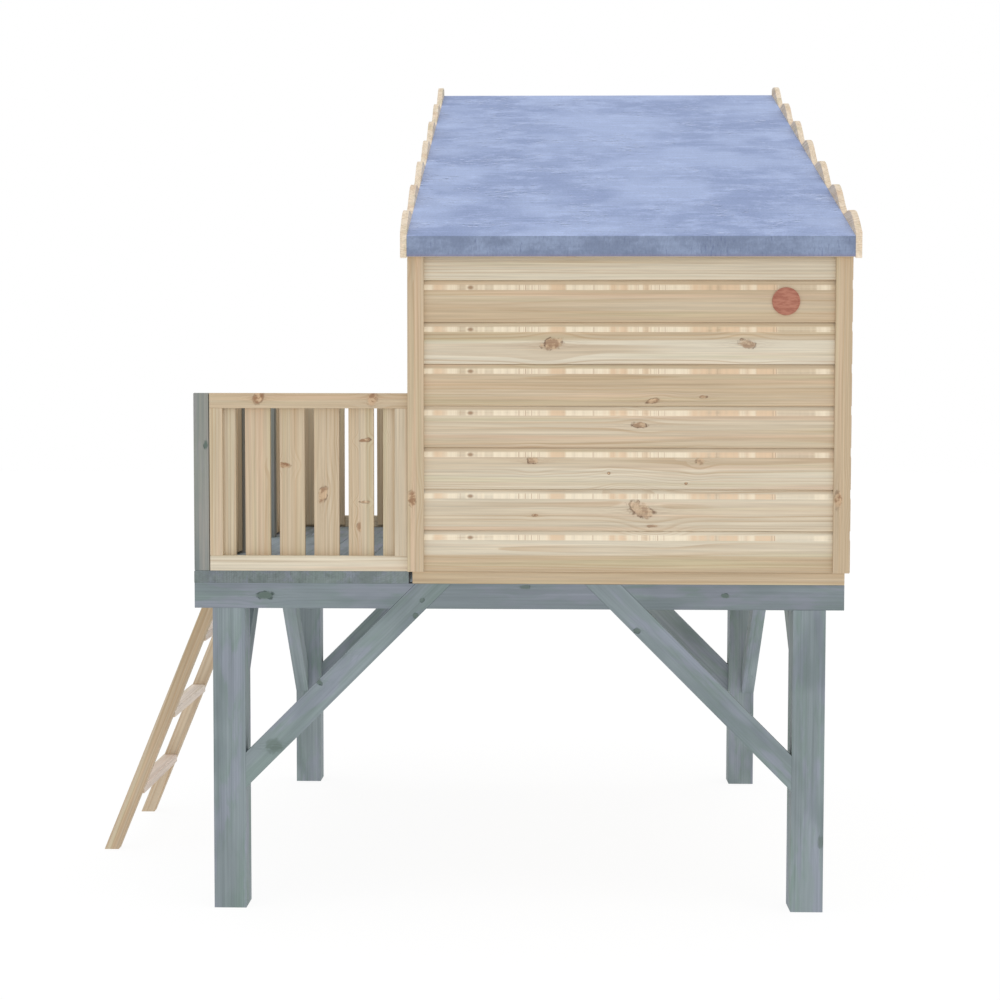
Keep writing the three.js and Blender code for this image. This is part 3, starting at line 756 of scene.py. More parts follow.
@dataclass(frozen=True)
class RoofFelt:
    """Blue-grey mineral felt, mottled, with grit and fine cracks painted as glints and shade, and
    painted darker on its flaps as the shade of their upright faces.
    """

    name: str = "roof_felt"
    slot: Slot = Slot.FELT
    base: Triple = srgb(169, 185, 222)
    pale: Triple = srgb(183, 199, 236)
    deep: Triple = srgb(146, 162, 201)
    # Dark colour of the cracks' shaded sides: partly the cracks' own darkness, partly painted shade.
    crack_shade: Triple = srgb(104, 116, 150)
    glint: Triple = srgb(206, 217, 242)
    # Painted shade: the flaps' colours are darker than the slope's, standing for the shade on their
    # upright faces.
    flap: Triple = srgb(142, 156, 184)
    flap_deep_shade: Triple = srgb(123, 136, 163)
    flap_edge: Triple = srgb(134, 132, 158)
    relief_step: float = 5 * MM
    drop: float = 56 * MM

    def build(self) -> Material:
        """Makes the material.

        Returns:
            The material.
        """
        g = MaterialGraph(self.name)
        place = g.place()
        drop = g.split(g.attribute(FELT_DROP))[0]
        flap = g.ease(drop, 0.3 * MM, 1.2 * MM)
        blotch = g.noise(place, (9.1, 13.0, 13.0), 6.0, 0.72)
        grit = g.noise(place, (190.0, 114.0, 114.0), 4.0, 0.75)
        streak = g.noise(place, (5.0, 75.0, 75.0), 3.0, 0.6)
        colour = g.mix(g.patches(place, 3.0, 3.0, 0.55, 0.38, 0.62), self.deep, self.base)
        colour = g.tint(colour, self.pale, g.ease(blotch, 0.46, 0.66), 0.6)
        # Painted shade on the flaps, with a darker violet tint towards their lower edge.
        flap_shade = g.mix(g.ease(blotch, 0.4, 0.65), self.flap_deep_shade, self.flap)
        low = g.ease(drop, self.drop - 9 * MM, self.drop - 2 * MM)
        colour = g.mix(flap, colour, g.tint(flap_shade, self.flap_edge, low, 0.7))
        where = g.patches(g.vector("ADD", place, (3.0, 1.0, 2.0)), 7.0, 4.0, 0.65, 0.42, 0.72)
        rough = g.calc("MAXIMUM", g.scaled(where, 0.7, 0.22), g.times(flap, 0.44))
        # Painted light and shade: the relief is coloured as an emboss, with a painted glint on one side
        # and the cracks' dark colour, partly painted shade, on the other.
        relief = g.times(self._relief(g, place, flap), rough)
        light = g.times(g.ease(relief, 0.035, 0.13), g.scaled(flap, -0.7, 0.8))
        colour = g.mix(light, colour, self.glint)
        colour = g.tint(colour, self.crack_shade, g.ease(relief, -0.04, -0.13), 0.75)
        colour = g.shade(colour, g.scaled(grit, 0.5, g.scaled(streak, 0.3, 0.6)))
        return g.dress(colour, 0.86, g.scaled(grit, 0.5, g.times(blotch, 0.5)), 0.5 * MM)

    def _relief(self, g: MaterialGraph, place: Socket, flap: Socket) -> Socket:
        """Finds how steeply the felt's cracked skin rises towards the eave. The material paints this
        rise as light and shade: a glint where it is positive, dark shade where it is negative.

        Args:
            g: The material's tree.
            place: The place on the felt.
            flap: The mask of the turned-down flaps, where the cracks stand upright.

        Returns:
            The rise, about 0.
        """
        stretch = g.mix(flap, (34.0, 52.0, 52.0), (150.0, 30.0, 30.0))
        step = g.mix(flap, (0.0, 1.0, 0.36), (0.6, 0.0, 0.0))
        step = g.vector("MULTIPLY", step, (self.relief_step,) * 3)
        points = (place, g.vector("ADD", place, step))
        return g.calc("SUBTRACT", *(g.noise(point, stretch, 4.0, 0.62) for point in points))


@dataclass(frozen=True)
class Metal:
    """A metal finish, brushed or dulled by fine noise."""

    name: str
    slot: Slot
    light: Triple
    dark: Triple
    metallic: float
    roughness: float
    scale: Triple = (60.0, 60.0, 60.0)

    def build(self) -> Material:
        """Makes the material.

        Returns:
            The material.
        """
        g = MaterialGraph(self.name)
        cloud = g.patches(g.place(), self.scale, 3.0, 0.6, 0.35, 0.65)
        fine = g.noise(g.place(), tuple(9 * share for share in self.scale), 2.0, 0.6)
        g.feed(g.shader.inputs["Metallic"], self.metallic)
        rough = g.scaled(fine, 0.2, self.roughness - 0.1)
        return g.dress(g.mix(cloud, self.dark, self.light), rough, fine, 0.1 * MM)


def prism(axis: Axis, outline: Outline, start: float, end: float) -> Surface:
    """Draws an outline out along an axis.

    Args:
        axis: The axis. X takes (y, z) points, Y takes (x, z) points and Z takes (x, y) points.
        outline: The outline's points.
        start: Where the prism starts along the axis.
        end: Where it ends.

    Returns:
        The closed surface, with its faces outwards.
    """
    bm = bmesh.new()
    low, high = (
        [bm.verts.new((*pair[: axis.value], along, *pair[axis.value :])) for pair in outline]
        for along in (start, end)
    )
    bm.faces.new(low)
    bm.faces.new(high)
    for i, vert in enumerate(low):
        j = (i + 1) % len(low)
        bm.faces.new((vert, low[j], high[j], high[i]))
    bmesh.ops.recalc_face_normals(bm, faces=bm.faces)
    return bm


def box(low: Sequence[float], high: Sequence[float]) -> Surface:
    """Makes a box between its lowest and its highest corner."""
    outline = [(low[0], low[1]), (high[0], low[1]), (high[0], high[1]), (low[0], high[1])]
    return prism(Axis.Z, outline, low[2], high[2])


def soften(bm: Surface, width: float, angle: float = 30.0) -> Surface:
    """Rounds the sharp edges of a surface.

    Args:
        bm: The surface.
        width: The rounding's width.
        angle: The least angle of a sharp edge, in degrees.

    Returns:
        The same surface.
    """
    limit = math.radians(angle)
    sharp = [e for e in bm.edges if e.is_manifold and e.calc_face_angle(0.0) > limit]
    bmesh.ops.bevel(
        bm, geom=sharp, offset=width, segments=2, profile=0.5, affect="EDGES", clamp_overlap=True
    )
    return bm


def mesh_of(bm: Surface, name: str) -> bpy.types.Mesh:
    """Turns a surface into a mesh, and frees the surface.

    Args:
        bm: The surface.
        name: The mesh's name.

    Returns:
        The mesh.
    """
    mesh = bpy.data.meshes.new(name)
    bm.to_mesh(mesh)
    bm.free()
    return mesh


def surface_of(mesh: bpy.types.Mesh) -> Surface:
    """Turns a mesh into a surface, and removes the mesh.

    Args:
        mesh: The mesh.

    Returns:
        The surface.
    """
    bm = bmesh.new()
    bm.from_mesh(mesh)
    bpy.data.meshes.remove(mesh)
    return bm


def place_object(name: str, data: bpy.types.ID) -> bpy.types.Object:
    """Puts a mesh, a camera or a lamp into the scene as an object.

    Args:
        name: The object's name.
        data: The mesh, the camera or the lamp.

    Returns:
        The object.
    """
    placed = bpy.data.objects.new(name, data)
    bpy.context.scene.collection.objects.link(placed)
    return placed


def gather(surfaces: Sequence[Surface]) -> Surface:
    """Puts several surfaces into one, and frees them.

    Args:
        surfaces: The surfaces.

    Returns:
        One surface with all their faces.
    """
    whole = bmesh.new()
    for surface in surfaces:
        scratch = mesh_of(surface, "scratch")
        whole.from_mesh(scratch)
        bpy.data.meshes.remove(scratch)
    return whole


def trim(bm: Surface, point: Sequence[float], normal: Vector) -> Surface:
    """Cuts away what lies on the side of a plane that its normal points to, and closes the cut.

    Args:
        bm: The surface, made of closed shells.
        point: A point on the plane.
        normal: The plane's normal.

    Returns:
        The same surface, cut.
    """
    geometry = [*bm.verts, *bm.edges, *bm.faces]
    bmesh.ops.bisect_plane(
        bm, geom=geometry, dist=1e-6, plane_co=point, plane_no=normal, clear_outer=True
    )
    rims = [edge for edge in bm.edges if edge.is_boundary]
    if rims:
        bmesh.ops.holes_fill(bm, edges=rims, sides=0)
    return bm


def around(bm: Surface, low: Vector, high: Vector) -> Surface:
    """Cuts an opening through boards that run along Y.

    Args:
        bm: The boards, which are used up.
        low: The opening's lowest corner.
        high: Its highest corner.

    Returns:
        What is left of the boards.
    """
    y, z = Axis.Y.vector, Axis.Z.vector
    between = ((low, -y), (high, y))
    parts = []
    for cuts in ([(low, y)], [(high, -y)], [*between, (low, z)], [*between, (high, -z)]):
        part = bm.copy()
        for point, normal in cuts:
            trim(part, point, normal)
        if part.faces:
            parts.append(part)
    bm.free()
    return gather(parts)


def shells(mesh: bpy.types.Mesh) -> np.ndarray:
    """Numbers the separate shells of a mesh.

    Args:
        mesh: The mesh.

    Returns:
        The number of its shell for each point.
    """
    parent = list(range(len(mesh.vertices)))

    def root(i: int) -> int:
        """Finds the point that stands for a point's shell.

        Args:
            i: The point's number.

        Returns:
            The number of the shell's own point.
        """
        while parent[i] != i:
            parent[i] = parent[parent[i]]
            i = parent[i]
        return i

    for edge in mesh.edges:
        first, second = root(edge.vertices[0]), root(edge.vertices[1])
        if first != second:
            parent[max(first, second)] = min(first, second)
    roots = np.array([root(i) for i in range(len(parent))])
    return np.unique(roots, return_inverse=True)[1]


@dataclass(frozen=True)
class Lie:
    """How the grain lies in a timber, and how its log and tone are picked.

    A course is a step in the direction across the grain, for boards in a stack: shells in the
    same course are parts of one board. Tones give the upper tone, the lower tone and the line
    between them for each board.
    """

    along: Vector
    across: Vector
    seed: int = 0
    course: float = 0.0
    course_start: float = 0.0
    pith: float = 60 * MM
    tones: tuple[Triple, ...] = ()
    tone: float = 0.5
    spread: float = 0.3

    def write(self, mesh: bpy.types.Mesh) -> None:
        """Writes the grain's attributes into a mesh.

        Args:
            mesh: The mesh, made of one or more closed shells.
        """
        count = len(mesh.vertices)
        places = np.zeros(count * 3)
        mesh.vertices.foreach_get("co", places)
        along, across = (np.array(v.normalized()) for v in (self.along, self.across))
        turned = places.reshape(-1, 3) @ np.stack([along, across, np.cross(along, across)], axis=1)
        grain, log_shift, look, reach = (np.zeros((count, 3)) for _ in Grain)
        numbers = shells(mesh)
        for index in range(numbers.max() + 1):
            chosen = numbers == index
            low, high = turned[chosen].min(0), turned[chosen].max(0)
            middle = (low + high) / 2
            if self.course:
                index = int((middle[1] - self.course_start) // self.course)
                middle[1] = self.course_start + (index + 0.5) * self.course
            rng = np.random.default_rng([self.seed, index])
            grain[chosen] = turned[chosen] - middle
            reach[chosen] = (high - low) / 2
            side = rng.uniform(-0.6, 0.6) * self.pith
            log_shift[chosen] = (rng.uniform(0, 40), side, rng.uniform(0.6, 1.6) * self.pith)
            tone = self.tone + rng.uniform(-1, 1) * self.spread
            edge = rng.uniform(-0.5, 0.5) * (high[1] - low[1])
            look[chosen] = (tone, tone + rng.normal() * self.spread / 2, edge)
            if index < len(self.tones):
                look[chosen] = self.tones[index]
        for name, values in zip(Grain, (grain, log_shift, look, reach)):
            attribute = mesh.attributes.new(name.value, "FLOAT_VECTOR", "POINT")
            attribute.data.foreach_set("vector", values.astype(np.float32).ravel())


def row_tree() -> Tree:
    """Makes the tree that repeats a piece in a row.

    Returns:
        The tree. Step is from one piece to the next.
    """
    inputs = {
        Kind.MESH: ["Piece"], Kind.COUNT: ["Count"], Kind.VECTOR: ["Step"],
        Kind.MATERIAL: ["Finish"],
    }
    g = GroupGraph("row_of_pieces", GEOMETRY, inputs, {Kind.MESH: ["Result"]})
    ins = g.inputs
    line = g.add("GeometryNodeMeshLine", {"Count": ins["Count"], "Offset": ins["Step"]})
    copies = {"Points": line.outputs[0], "Instance": ins["Piece"]}
    return g.paint(g.add("GeometryNodeInstanceOnPoints", copies).outputs[0])


def screw_tree() -> Tree:
    """Makes the tree that puts a screw head on each point, turned at random about its axis.

    Returns:
        The tree. Axis is the direction that the heads look in.
    """
    inputs = {
        Kind.MESH: ["Points"], Kind.OBJECT: ["Head"], Kind.VECTOR: ["Axis"], Kind.COUNT: ["Seed"],
        Kind.MATERIAL: ["Finish"],
    }
    g = GroupGraph("screw_heads", GEOMETRY, inputs, {Kind.MESH: ["Result"]})
    ins = g.inputs
    head = g.add("GeometryNodeObjectInfo", {"Object": ins["Head"]}).outputs["Geometry"]
    chance = g.add("FunctionNodeRandomValue", {"Seed": ins["Seed"]}, data_type="FLOAT").outputs[1]
    upright = g.add("FunctionNodeAlignRotationToVector", {"Vector": ins["Axis"]}, axis="Z")
    spin = g.add("FunctionNodeAxisAngleToRotation", {"Angle": g.times(chance, math.tau)})
    both = {"Rotation": upright.outputs[0], "Rotate By": spin.outputs[0]}
    turn = g.add("FunctionNodeRotateRotation", both, rotation_space="LOCAL").outputs[0]
    copies = {"Points": ins["Points"], "Instance": head, "Rotation": turn}
    return g.paint(g.add("GeometryNodeInstanceOnPoints", copies).outputs[0])


def wavy_board_tree() -> Tree:
    """Makes the tree that shapes a bargeboard: a straight slanting bottom and a waved top.

    Returns:
        The tree. Its base line runs up the slope from Start, and Crest is where the first crest
        stands behind the start, as a share of the pitch.
    """
    sizes = ["Run", "Slope", "Drop", "Pitch", "Lift", "Crest", "Thickness"]
    inputs = {
        Kind.VECTOR: ["Start"], Kind.VALUE: sizes, Kind.COUNT: ["Steps"], Kind.MATERIAL: ["Finish"]
    }
    g = GroupGraph("wavy_board", GEOMETRY, inputs, {Kind.MESH: ["Result"]})
    ins = g.inputs
    columns = g.calc("ADD", ins["Steps"], 1.0)
    grid = {"Size X": ins["Run"], "Size Y": 1.0, "Vertices X": columns, "Vertices Y": 2}
    sheet = g.add("GeometryNodeMeshGrid", grid).outputs[0]
    x, y, _ = g.split(g.add("GeometryNodeInputPosition").outputs[0])
    run = g.scaled(ins["Run"], 0.5, x)
    phase = g.calc("SUBTRACT", g.calc("DIVIDE", run, ins["Pitch"]), ins["Crest"])
    wave = g.calc("COSINE", g.times(phase, math.tau))
    top = g.calc("GREATER_THAN", y, 0.0)
    lift = g.times(g.scaled(wave, 0.5, 0.5), ins["Lift"], top)
    edge = g.calc("ADD", g.times(g.calc("SUBTRACT", top, 1.0), ins["Drop"]), lift)
    height = g.scaled(run, ins["Slope"], edge)
    place = g.vector("ADD", g.combine(0.0, run, height), ins["Start"])
    moved = {"Geometry": sheet, "Position": place}
    face = g.add("GeometryNodeSetPosition", moved).outputs[0]
    thick = {"Mesh": face, "Offset": (1.0, 0.0, 0.0), "Offset Scale": ins["Thickness"]}
    front = g.add("GeometryNodeExtrudeMesh", {**thick, "Individual": False}).outputs[0]
    both = g.add("GeometryNodeJoinGeometry", {"Geometry": front})
    g.feed(both.inputs[0], g.add("GeometryNodeFlipFaces", {"Mesh": face}).outputs[0])
    whole = {"Geometry": both.outputs[0], "Distance": 0.01 * MM}
    return g.paint(g.add("GeometryNodeMergeByDistance", whole).outputs[0])


@dataclass
class Workshop:
    """Turns surfaces and CAD nodes into finished objects on their bodies."""

    nodes: dict[str, bpy.types.Object]
    finishes: dict[str, tuple[Material, Slot]]
    rows: Tree = field(default_factory=row_tree)
    screws: Tree = field(default_factory=screw_tree)
    wavy_boards: Tree = field(default_factory=wavy_board_tree)

    def copy_of(self, node: str) -> Surface:
        """Copies a CAD node's surface, with its doubles merged and its flat faces whole.

        Args:
            node: The node's name.

        Returns:
            The copy.
        """
        bm = bmesh.new()
        bm.from_mesh(self.nodes[node].data)
        bmesh.ops.remove_doubles(bm, verts=bm.verts, dist=0.02 * MM)
        flat = math.radians(0.5)
        bmesh.ops.dissolve_limit(bm, angle_limit=flat, verts=bm.verts, edges=bm.edges)
        return bm

    def dress(
        self, bm: Surface, name: str, finish: str, replaces: Sequence[str] = (),
        lie: Lie | None = None, body: Body = Body.PLAYHOUSE, smooth: float = 0.0,
    ) -> None:
        """Makes a finished object.

        Args:
            bm: Its surface, which is used up.
            name: Its name.
            finish: The finish's name.
            replaces: The CAD nodes that it stands for.
            lie: How the grain lies in it, where it is a timber.
            body: The body that it rides on.
            smooth: The angle under which faces are shaded smoothly, in degrees, or 0 for none.
        """
        mesh = mesh_of(bm, name)
        if lie:
            lie.write(mesh)
        material, slot = self.finishes[finish]
        mesh.materials.append(material)
        piece = place_object(name, mesh)
        if smooth:
            mesh.shade_smooth()
            mesh.set_sharp_from_angle(angle=math.radians(smooth))
        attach(piece, body.value)
        if replaces:
            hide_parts(*replaces)
        log.info("%s: %d faces, %s", name, len(mesh.polygons), finish)

    def stand_in(self, node: str, finish: str, lie: Lie, arris: float) -> None:
        """Stands a softened copy in for a CAD node.

        Args:
            node: The node's name.
            finish: The finish's name.
            lie: How the grain lies.
            arris: How much its edges are rounded.
        """
        self.dress(soften(self.copy_of(node), arris), f"{node}_timber", finish, (node,), lie)

    def run(self, tree: Tree, base: Surface, finish: str, **inputs: object) -> Surface:
        """Runs a Geometry Nodes tree.

        Args:
            tree: The tree.
            base: The surface that it starts from, which is used up.
            finish: The name of the finish that it sets.
            inputs: Its other inputs, by name.

        Returns:
            The plain surface that it makes.
        """
        inputs["Finish"] = self.finishes[finish][0]
        mesh = mesh_of(base, "base")
        carrier = place_object("carrier", mesh)
        modifier = carrier.modifiers.new("nodes", "NODES")
        modifier.node_group = tree
        for item in tree.interface.items_tree:
            if item.in_out == "INPUT" and item.name in inputs:
                modifier[item.identifier] = inputs[item.name]
        seen = carrier.evaluated_get(bpy.context.evaluated_depsgraph_get())
        result = bpy.data.meshes.new_from_object(seen)
        result.materials.clear()
        bpy.data.objects.remove(carrier)
        bpy.data.meshes.remove(mesh)
        return surface_of(result)

    def row(self, base: Surface, count: int, step: Vector, finish: str) -> Surface:
        """Repeats a piece in a row: the first piece, how many, from one to the next, the finish."""
        return self.run(self.rows, base, finish, Count=count, Step=tuple(step))


CORNERS = tuple((end, side) for end in ("porch", "back") for side in ("near", "far"))


@dataclass
class Platform:
    """The legs, beams and braces under the floor."""

    shop: Workshop
    arris: float = 0.8 * MM
    leg_seed: int = 0
    long_brace_seed: int = 10
    side_brace_seed: int = 20
    beam_seed: int = 30
    cross_beam_seed: int = 40

    def build(self) -> None:
        """Dresses every timber of the platform."""
        x, y, z = (axis.vector for axis in Axis)
        for number, (end, side) in enumerate(CORNERS):
            corner = f"{end}_{side}"
            self._timber(f"leg_{corner}", z, x, self.leg_seed + number)
            inwards = x if end == "porch" else -x
            lie = (inwards + z, z - inwards, self.long_brace_seed + number)
            self._timber(f"long_brace_{corner}", *lie, "stained_brace")
            inwards = y if side == "near" else -y
            lie = (inwards + z, z - inwards, self.side_brace_seed + number)
            self._timber(f"side_brace_{corner}", *lie)
        for number, node in enumerate(("beam_near", "beam_far", "middle_joist")):
            self._timber(node, x, z, self.beam_seed + number, "stained_beam")
        for number, node in enumerate(("cross_beam_porch", "cross_beam_back")):
            self._timber(node, y, z, self.cross_beam_seed + number, "stained_beam")

    def _timber(
        self, node: str, along: Vector, across: Vector, seed: int, finish: str = "stained_leg"
    ) -> None:
        """Dresses one CAD node: the grain runs along, and the seed picks its log."""
        self.shop.stand_in(node, finish, Lie(along, across, seed), self.arris)


@dataclass
class Porch:
    """The porch's floor boards and posts."""

    shop: Workshop
    boards: int = 4
    upper_arris: float = 2.5 * MM
    seam: float = 0.1 * MM
    arris: float = 2 * MM
    board_seed: int = 50
    post_seed: int = 60

    def build(self) -> None:
        """Builds the floor and the posts."""
        names = [f"porch_board_{i + 1}" for i in range(self.boards)]
        low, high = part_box(names[0])
        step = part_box(names[1])[0] - low
        swelling = Axis.X.vector * (step.x - (high - low).x - self.seam) / 2
        base = box(low - swelling, high + swelling)
        upper = [
            edge for edge in base.edges
            if all(abs(v.co.z - high.z) < MM for v in edge.verts)
            and abs(edge.verts[0].co.y - edge.verts[1].co.y) > MM
        ]
        rounding = {"offset": self.upper_arris, "segments": 2, "profile": 0.5}
        bmesh.ops.bevel(base, geom=upper, affect="EDGES", **rounding)
        row = self.shop.row(base, self.boards, step, "stained_decking")
        lie = Lie(Axis.Y.vector, Axis.X.vector, self.board_seed)
        self.shop.dress(row, "porch_boards", "stained_decking", names, lie)
        posts = ("corner_post_near", "corner_post_far", "gate_post_near", "gate_post_far")
        for number, node in enumerate(posts):
            lie = Lie(Axis.Z.vector, Axis.X.vector, self.post_seed + number)
            self.shop.stand_in(node, "stained_post", lie, self.arris)


@dataclass
class RailingPanel:
    """A railing panel: a flush frame with upright slats behind it."""

    shop: Workshop
    node: str
    axis: Axis
    seed: int
    frame_inwards: bool = False
    slat_shift: float = 0.0
    rail: float = 42 * MM
    stile: float = 36 * MM
    frame_depth: float = 20 * MM
    slat_width: float = 70 * MM
    slat_spacing: float = 96 * MM
    slat_setback: float = 8 * MM
    arris: float = 1.2 * MM
    rail_tones: tuple[float, ...] = (0.1, 0.9)
    rail_shades: tuple[float, ...] = (0.2, 0.9)
    # Tones of the two stiles, then the slats. They differ partly at random; the paler second stile
    # (0.5), first slat (0.45) and last slat (0.65) are partly painted light, offsetting the shade beside
    # the stiles and the house's trim.
    upright_tones_with_painted_light: tuple[float, ...] = (0.75, 0.5, 0.45, 0.85, 0.85, 0.8, 0.75, 0.65)

    def build(self) -> None:
        """Builds the frame and the slats."""
        low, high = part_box(self.node)
        along, up = self.axis.vector, Axis.Z.vector
        near, far = low[1 - self.axis.value], high[1 - self.axis.value]
        middle = far - self.frame_depth if self.frame_inwards else near + self.frame_depth
        frame, slats = ((middle, far), (near, middle))[:: 1 if self.frame_inwards else -1]
        start, end = low[self.axis.value], high[self.axis.value]
        rails = [
            self._bar((start, end), (bottom, bottom + self.rail), frame)
            for bottom in (low.z, high.z - self.rail)
        ]
        inner = (low.z + self.rail, high.z - self.rail)
        stiles = [
            self._bar((left, left + self.stile), inner, frame) for left in (start, end - self.stile)
        ]
        travel = end - start - self.slat_width
        gaps = max(1, round(travel / self.slat_spacing))
        first = (start + self.slat_shift, start + self.slat_shift + self.slat_width)
        slat = self._bar(first, (low.z + self.slat_setback, high.z - self.slat_setback), slats)
        row = self.shop.row(slat, gaps + 1, along * travel / gaps, "pine_slat")
        if self.slat_shift:
            trim(row, high, along)
        tones = tuple((*pair, 0.0) for pair in zip(self.rail_tones, self.rail_shades))
        level = Lie(along, up, self.seed, tones=tones)
        tones = tuple((tone, tone, 0.0) for tone in self.upright_tones_with_painted_light)
        upright = Lie(up, along, self.seed + 1, tones=tones)
        self.shop.dress(gather(rails), f"{self.node}_rails", "pine_rail", (self.node,), level)
        self.shop.dress(gather([*stiles, row]), f"{self.node}_slats", "pine_slat", (), upright)

    def _bar(
        self, along: tuple[float, float], up: tuple[float, float], depth: tuple[float, float]
    ) -> Surface:
        """Makes one softened bar of the panel from its ranges along, up and through the panel."""
        ranges = (along, depth, up) if self.axis is Axis.X else (depth, along, up)
        return soften(box(*zip(*ranges)), self.arris)


@dataclass
class HouseFloor:
    """The house's floor: boards let into a batten frame."""

    shop: Workshop
    batten: float = 45 * MM
    board_thickness: float = 16 * MM
    board_cover: float = 96 * MM
    groove: float = 3 * MM
    bays: int = 3
    arris: float = 1.2 * MM
    sill_seed: int = 70
    board_seed: int = 71

    def build(self) -> None:
        """Builds the battens and the boards."""
        low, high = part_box("house_floor")
        inset = Vector((self.batten, self.batten, 0))
        inner_low, inner_high = low + inset, high - inset
        under = high.z - self.board_thickness
        room = inner_high.x - inner_low.x
        bay = (room - (self.bays - 1) * self.batten) / self.bays
        level = [
            box(low, (high.x, inner_low.y, high.z)),
            box((low.x, inner_high.y, low.z), high),
        ]
        spans = [(low.x, inner_low.x, high.z), (inner_high.x, high.x, high.z)]
        for i in range(1, self.bays):
            start = inner_low.x + i * bay + (i - 1) * self.batten
            spans.append((start, start + self.batten, under))
        cross = [
            box((start, inner_low.y, low.z), (end, inner_high.y, top)) for start, end, top in spans
        ]
        count = math.ceil(room / self.board_cover)
        start = inner_low.x + self.groove / 2
        end = start + room / count - self.groove
        base = box((start, inner_low.y, under), (end, inner_high.y, high.z))
        for bm in (*level, *cross, base):
            soften(bm, self.arris)
        row = self.shop.row(base, count, Vector((room / count, 0, 0)), "pine_frame")
        sill = Lie(Axis.X.vector, Axis.Z.vector, self.sill_seed, tone=0.95, spread=0.05)
        self.shop.dress(gather(level), "house_floor_sills", "pine_sill", ("house_floor",), sill)
        boards = Lie(Axis.Y.vector, Axis.X.vector, self.board_seed)
        self.shop.dress(gather([*cross, row]), "house_floor_boards", "pine_frame", (), boards)


@dataclass
class Roofline:
    """The planes of the roof, read from the felt's box.

    Cover is from the roof boards' underside to the felt's top, square to the slope.
    """

    corner_y: float
    angle: float = math.radians(20)
    cover: float = 18.5 * MM

    def __post_init__(self) -> None:
        """Reads the felt's box and works the slope out."""
        self.slope = math.tan(self.angle)
        self.normal = Vector((0, -self.slope, 1)).normalized()
        self.uphill = Vector((0, 1, self.slope))
        self.low, self.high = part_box("roof_felt")
        self.base = self.high.z - self.slope * (self.high.y - self.corner_y)

    def felt(self, y: float) -> float:
        """The height of the felt's top at a place up the roof."""
        return self.base + self.slope * (y - self.corner_y)

    def underside(self, y: float) -> float:
        """The height of the roof boards' underside at a place up the roof."""
        return self.felt(y) - self.cover / math.cos(self.angle)


@dataclass
class Walls:
    """The cladding, corner trims and frames of the house."""

    shop: Workshop
    roofline: Roofline
    cover: float = 114.5 * MM
    thickness: float = 12 * MM
    scoop_height: float = 27 * MM
    scoop_depth: float = 5 * MM
    joint: float = 2.4 * MM
    lip: float = 1.2 * MM
    roof_gap: float = 0.3 * MM
    door_gap: float = 4 * MM
    below_door: float = 200 * MM
    trim_lap: float = 30 * MM
    trim_arris: float = 1.2 * MM
    frame_arris: float = 0.8 * MM
    trim_seed: int = 80
    cladding_seed: int = 90
    frame_seed: int = 100
    low_tones: tuple[Triple, ...] = (
        (0.15, 1.0, -12 * MM),
        (0.3, 0.45, 0.0),
        (0.55, 0.15, 0.0),
        (0.5, 0.7, -25 * MM),
        (0.95, 0.95, 0.0),
        (0.95, 0.0, 8 * MM),
        (0.85, 1.0, -30 * MM),
        (0.3, 0.1, -10 * MM),
        (0.3, 0.2, 0.0),
    )

    def build(self) -> None:
        """Builds the four walls."""
        sides = ("low", "high", "porch", "back")
        for number, side in enumerate(sides):
            self._cladding(side, self.cladding_seed + number)
        for number, (end, side) in enumerate(CORNERS):
            lie = Lie(Axis.Z.vector, Axis.X.vector, self.trim_seed + number, tone=0.9, spread=0.1)
            self.shop.stand_in(f"corner_trim_{end}_{side}", "pine_trim", lie, self.trim_arris)
        for number, side in enumerate(sides):
            lie = Lie(Axis.Z.vector, Axis.X.vector, self.frame_seed + number, tone=0.6)
            self.shop.stand_in(f"frame_{side}", "pine_frame", lie, self.frame_arris)

    def _profile(self, bottom: float) -> list[tuple[float, float]]:
        """Gives one board's outline.

        Args:
            bottom: The board's lowest height.

        Returns:
            Points of distance out from the frame and height.
        """
        out, top = self.thickness, bottom + self.cover
        scooped = out - self.scoop_depth
        return [
            (0.0, bottom),
            (out - self.lip, bottom),
            (out, bottom + self.lip),
            (out, top - self.scoop_height),
            (scooped, top - self.joint),
            (scooped - self.joint, top - self.joint),
            (scooped - self.joint, top),
            (0.0, top),
        ]

    def _cladding(self, side: str, seed: int) -> None:
        """Builds one wall's boards.

        Args:
            side: The wall.
            seed: Picks its logs.
        """
        low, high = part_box(f"cladding_{side}")
        along = Axis.X if side in ("low", "high") else Axis.Y
        inwards = side in ("low", "porch")
        back = (high if inwards else low)[1 - along.value]
        outline = [(back - out if inwards else back + out, z) for out, z in self._profile(low.z)]
        base = prism(along, outline, low[along.value], high[along.value])
        count = math.ceil((high.z - low.z) / self.cover)
        boards = self.shop.row(base, count, Vector((0, 0, self.cover)), "pine_cladding")
        line = self.roofline
        top = line.underside(line.corner_y) - self.roof_gap
        trim(boards, (0, line.corner_y, top), line.normal)
        if side == "porch":
            boards = self._openings(boards)
        name, tones = ("pine_low_wall", self.low_tones) if side == "low" else ("pine_cladding", ())
        lie = Lie(
            along.vector, Axis.Z.vector, seed, self.cover, low.z, tones=tones, tone=0.4, spread=0.4
        )
        self.shop.dress(boards, f"{side}_wall_boards", name, (f"cladding_{side}",), lie)

    def _openings(self, boards: Surface) -> Surface:
        """Cuts the doorway and the window out of the porch wall.

        Args:
            boards: The wall's boards.

        Returns:
            The boards with both openings.
        """
        low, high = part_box("door_leaf")
        boards = around(
            boards,
            low - Vector((0, self.door_gap, self.below_door)),
            high + Vector((0, self.door_gap, self.door_gap)),
        )
        low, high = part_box("window_trim")
        lap = Vector((0, self.trim_lap, self.trim_lap))
        return around(boards, low + lap, high - lap)


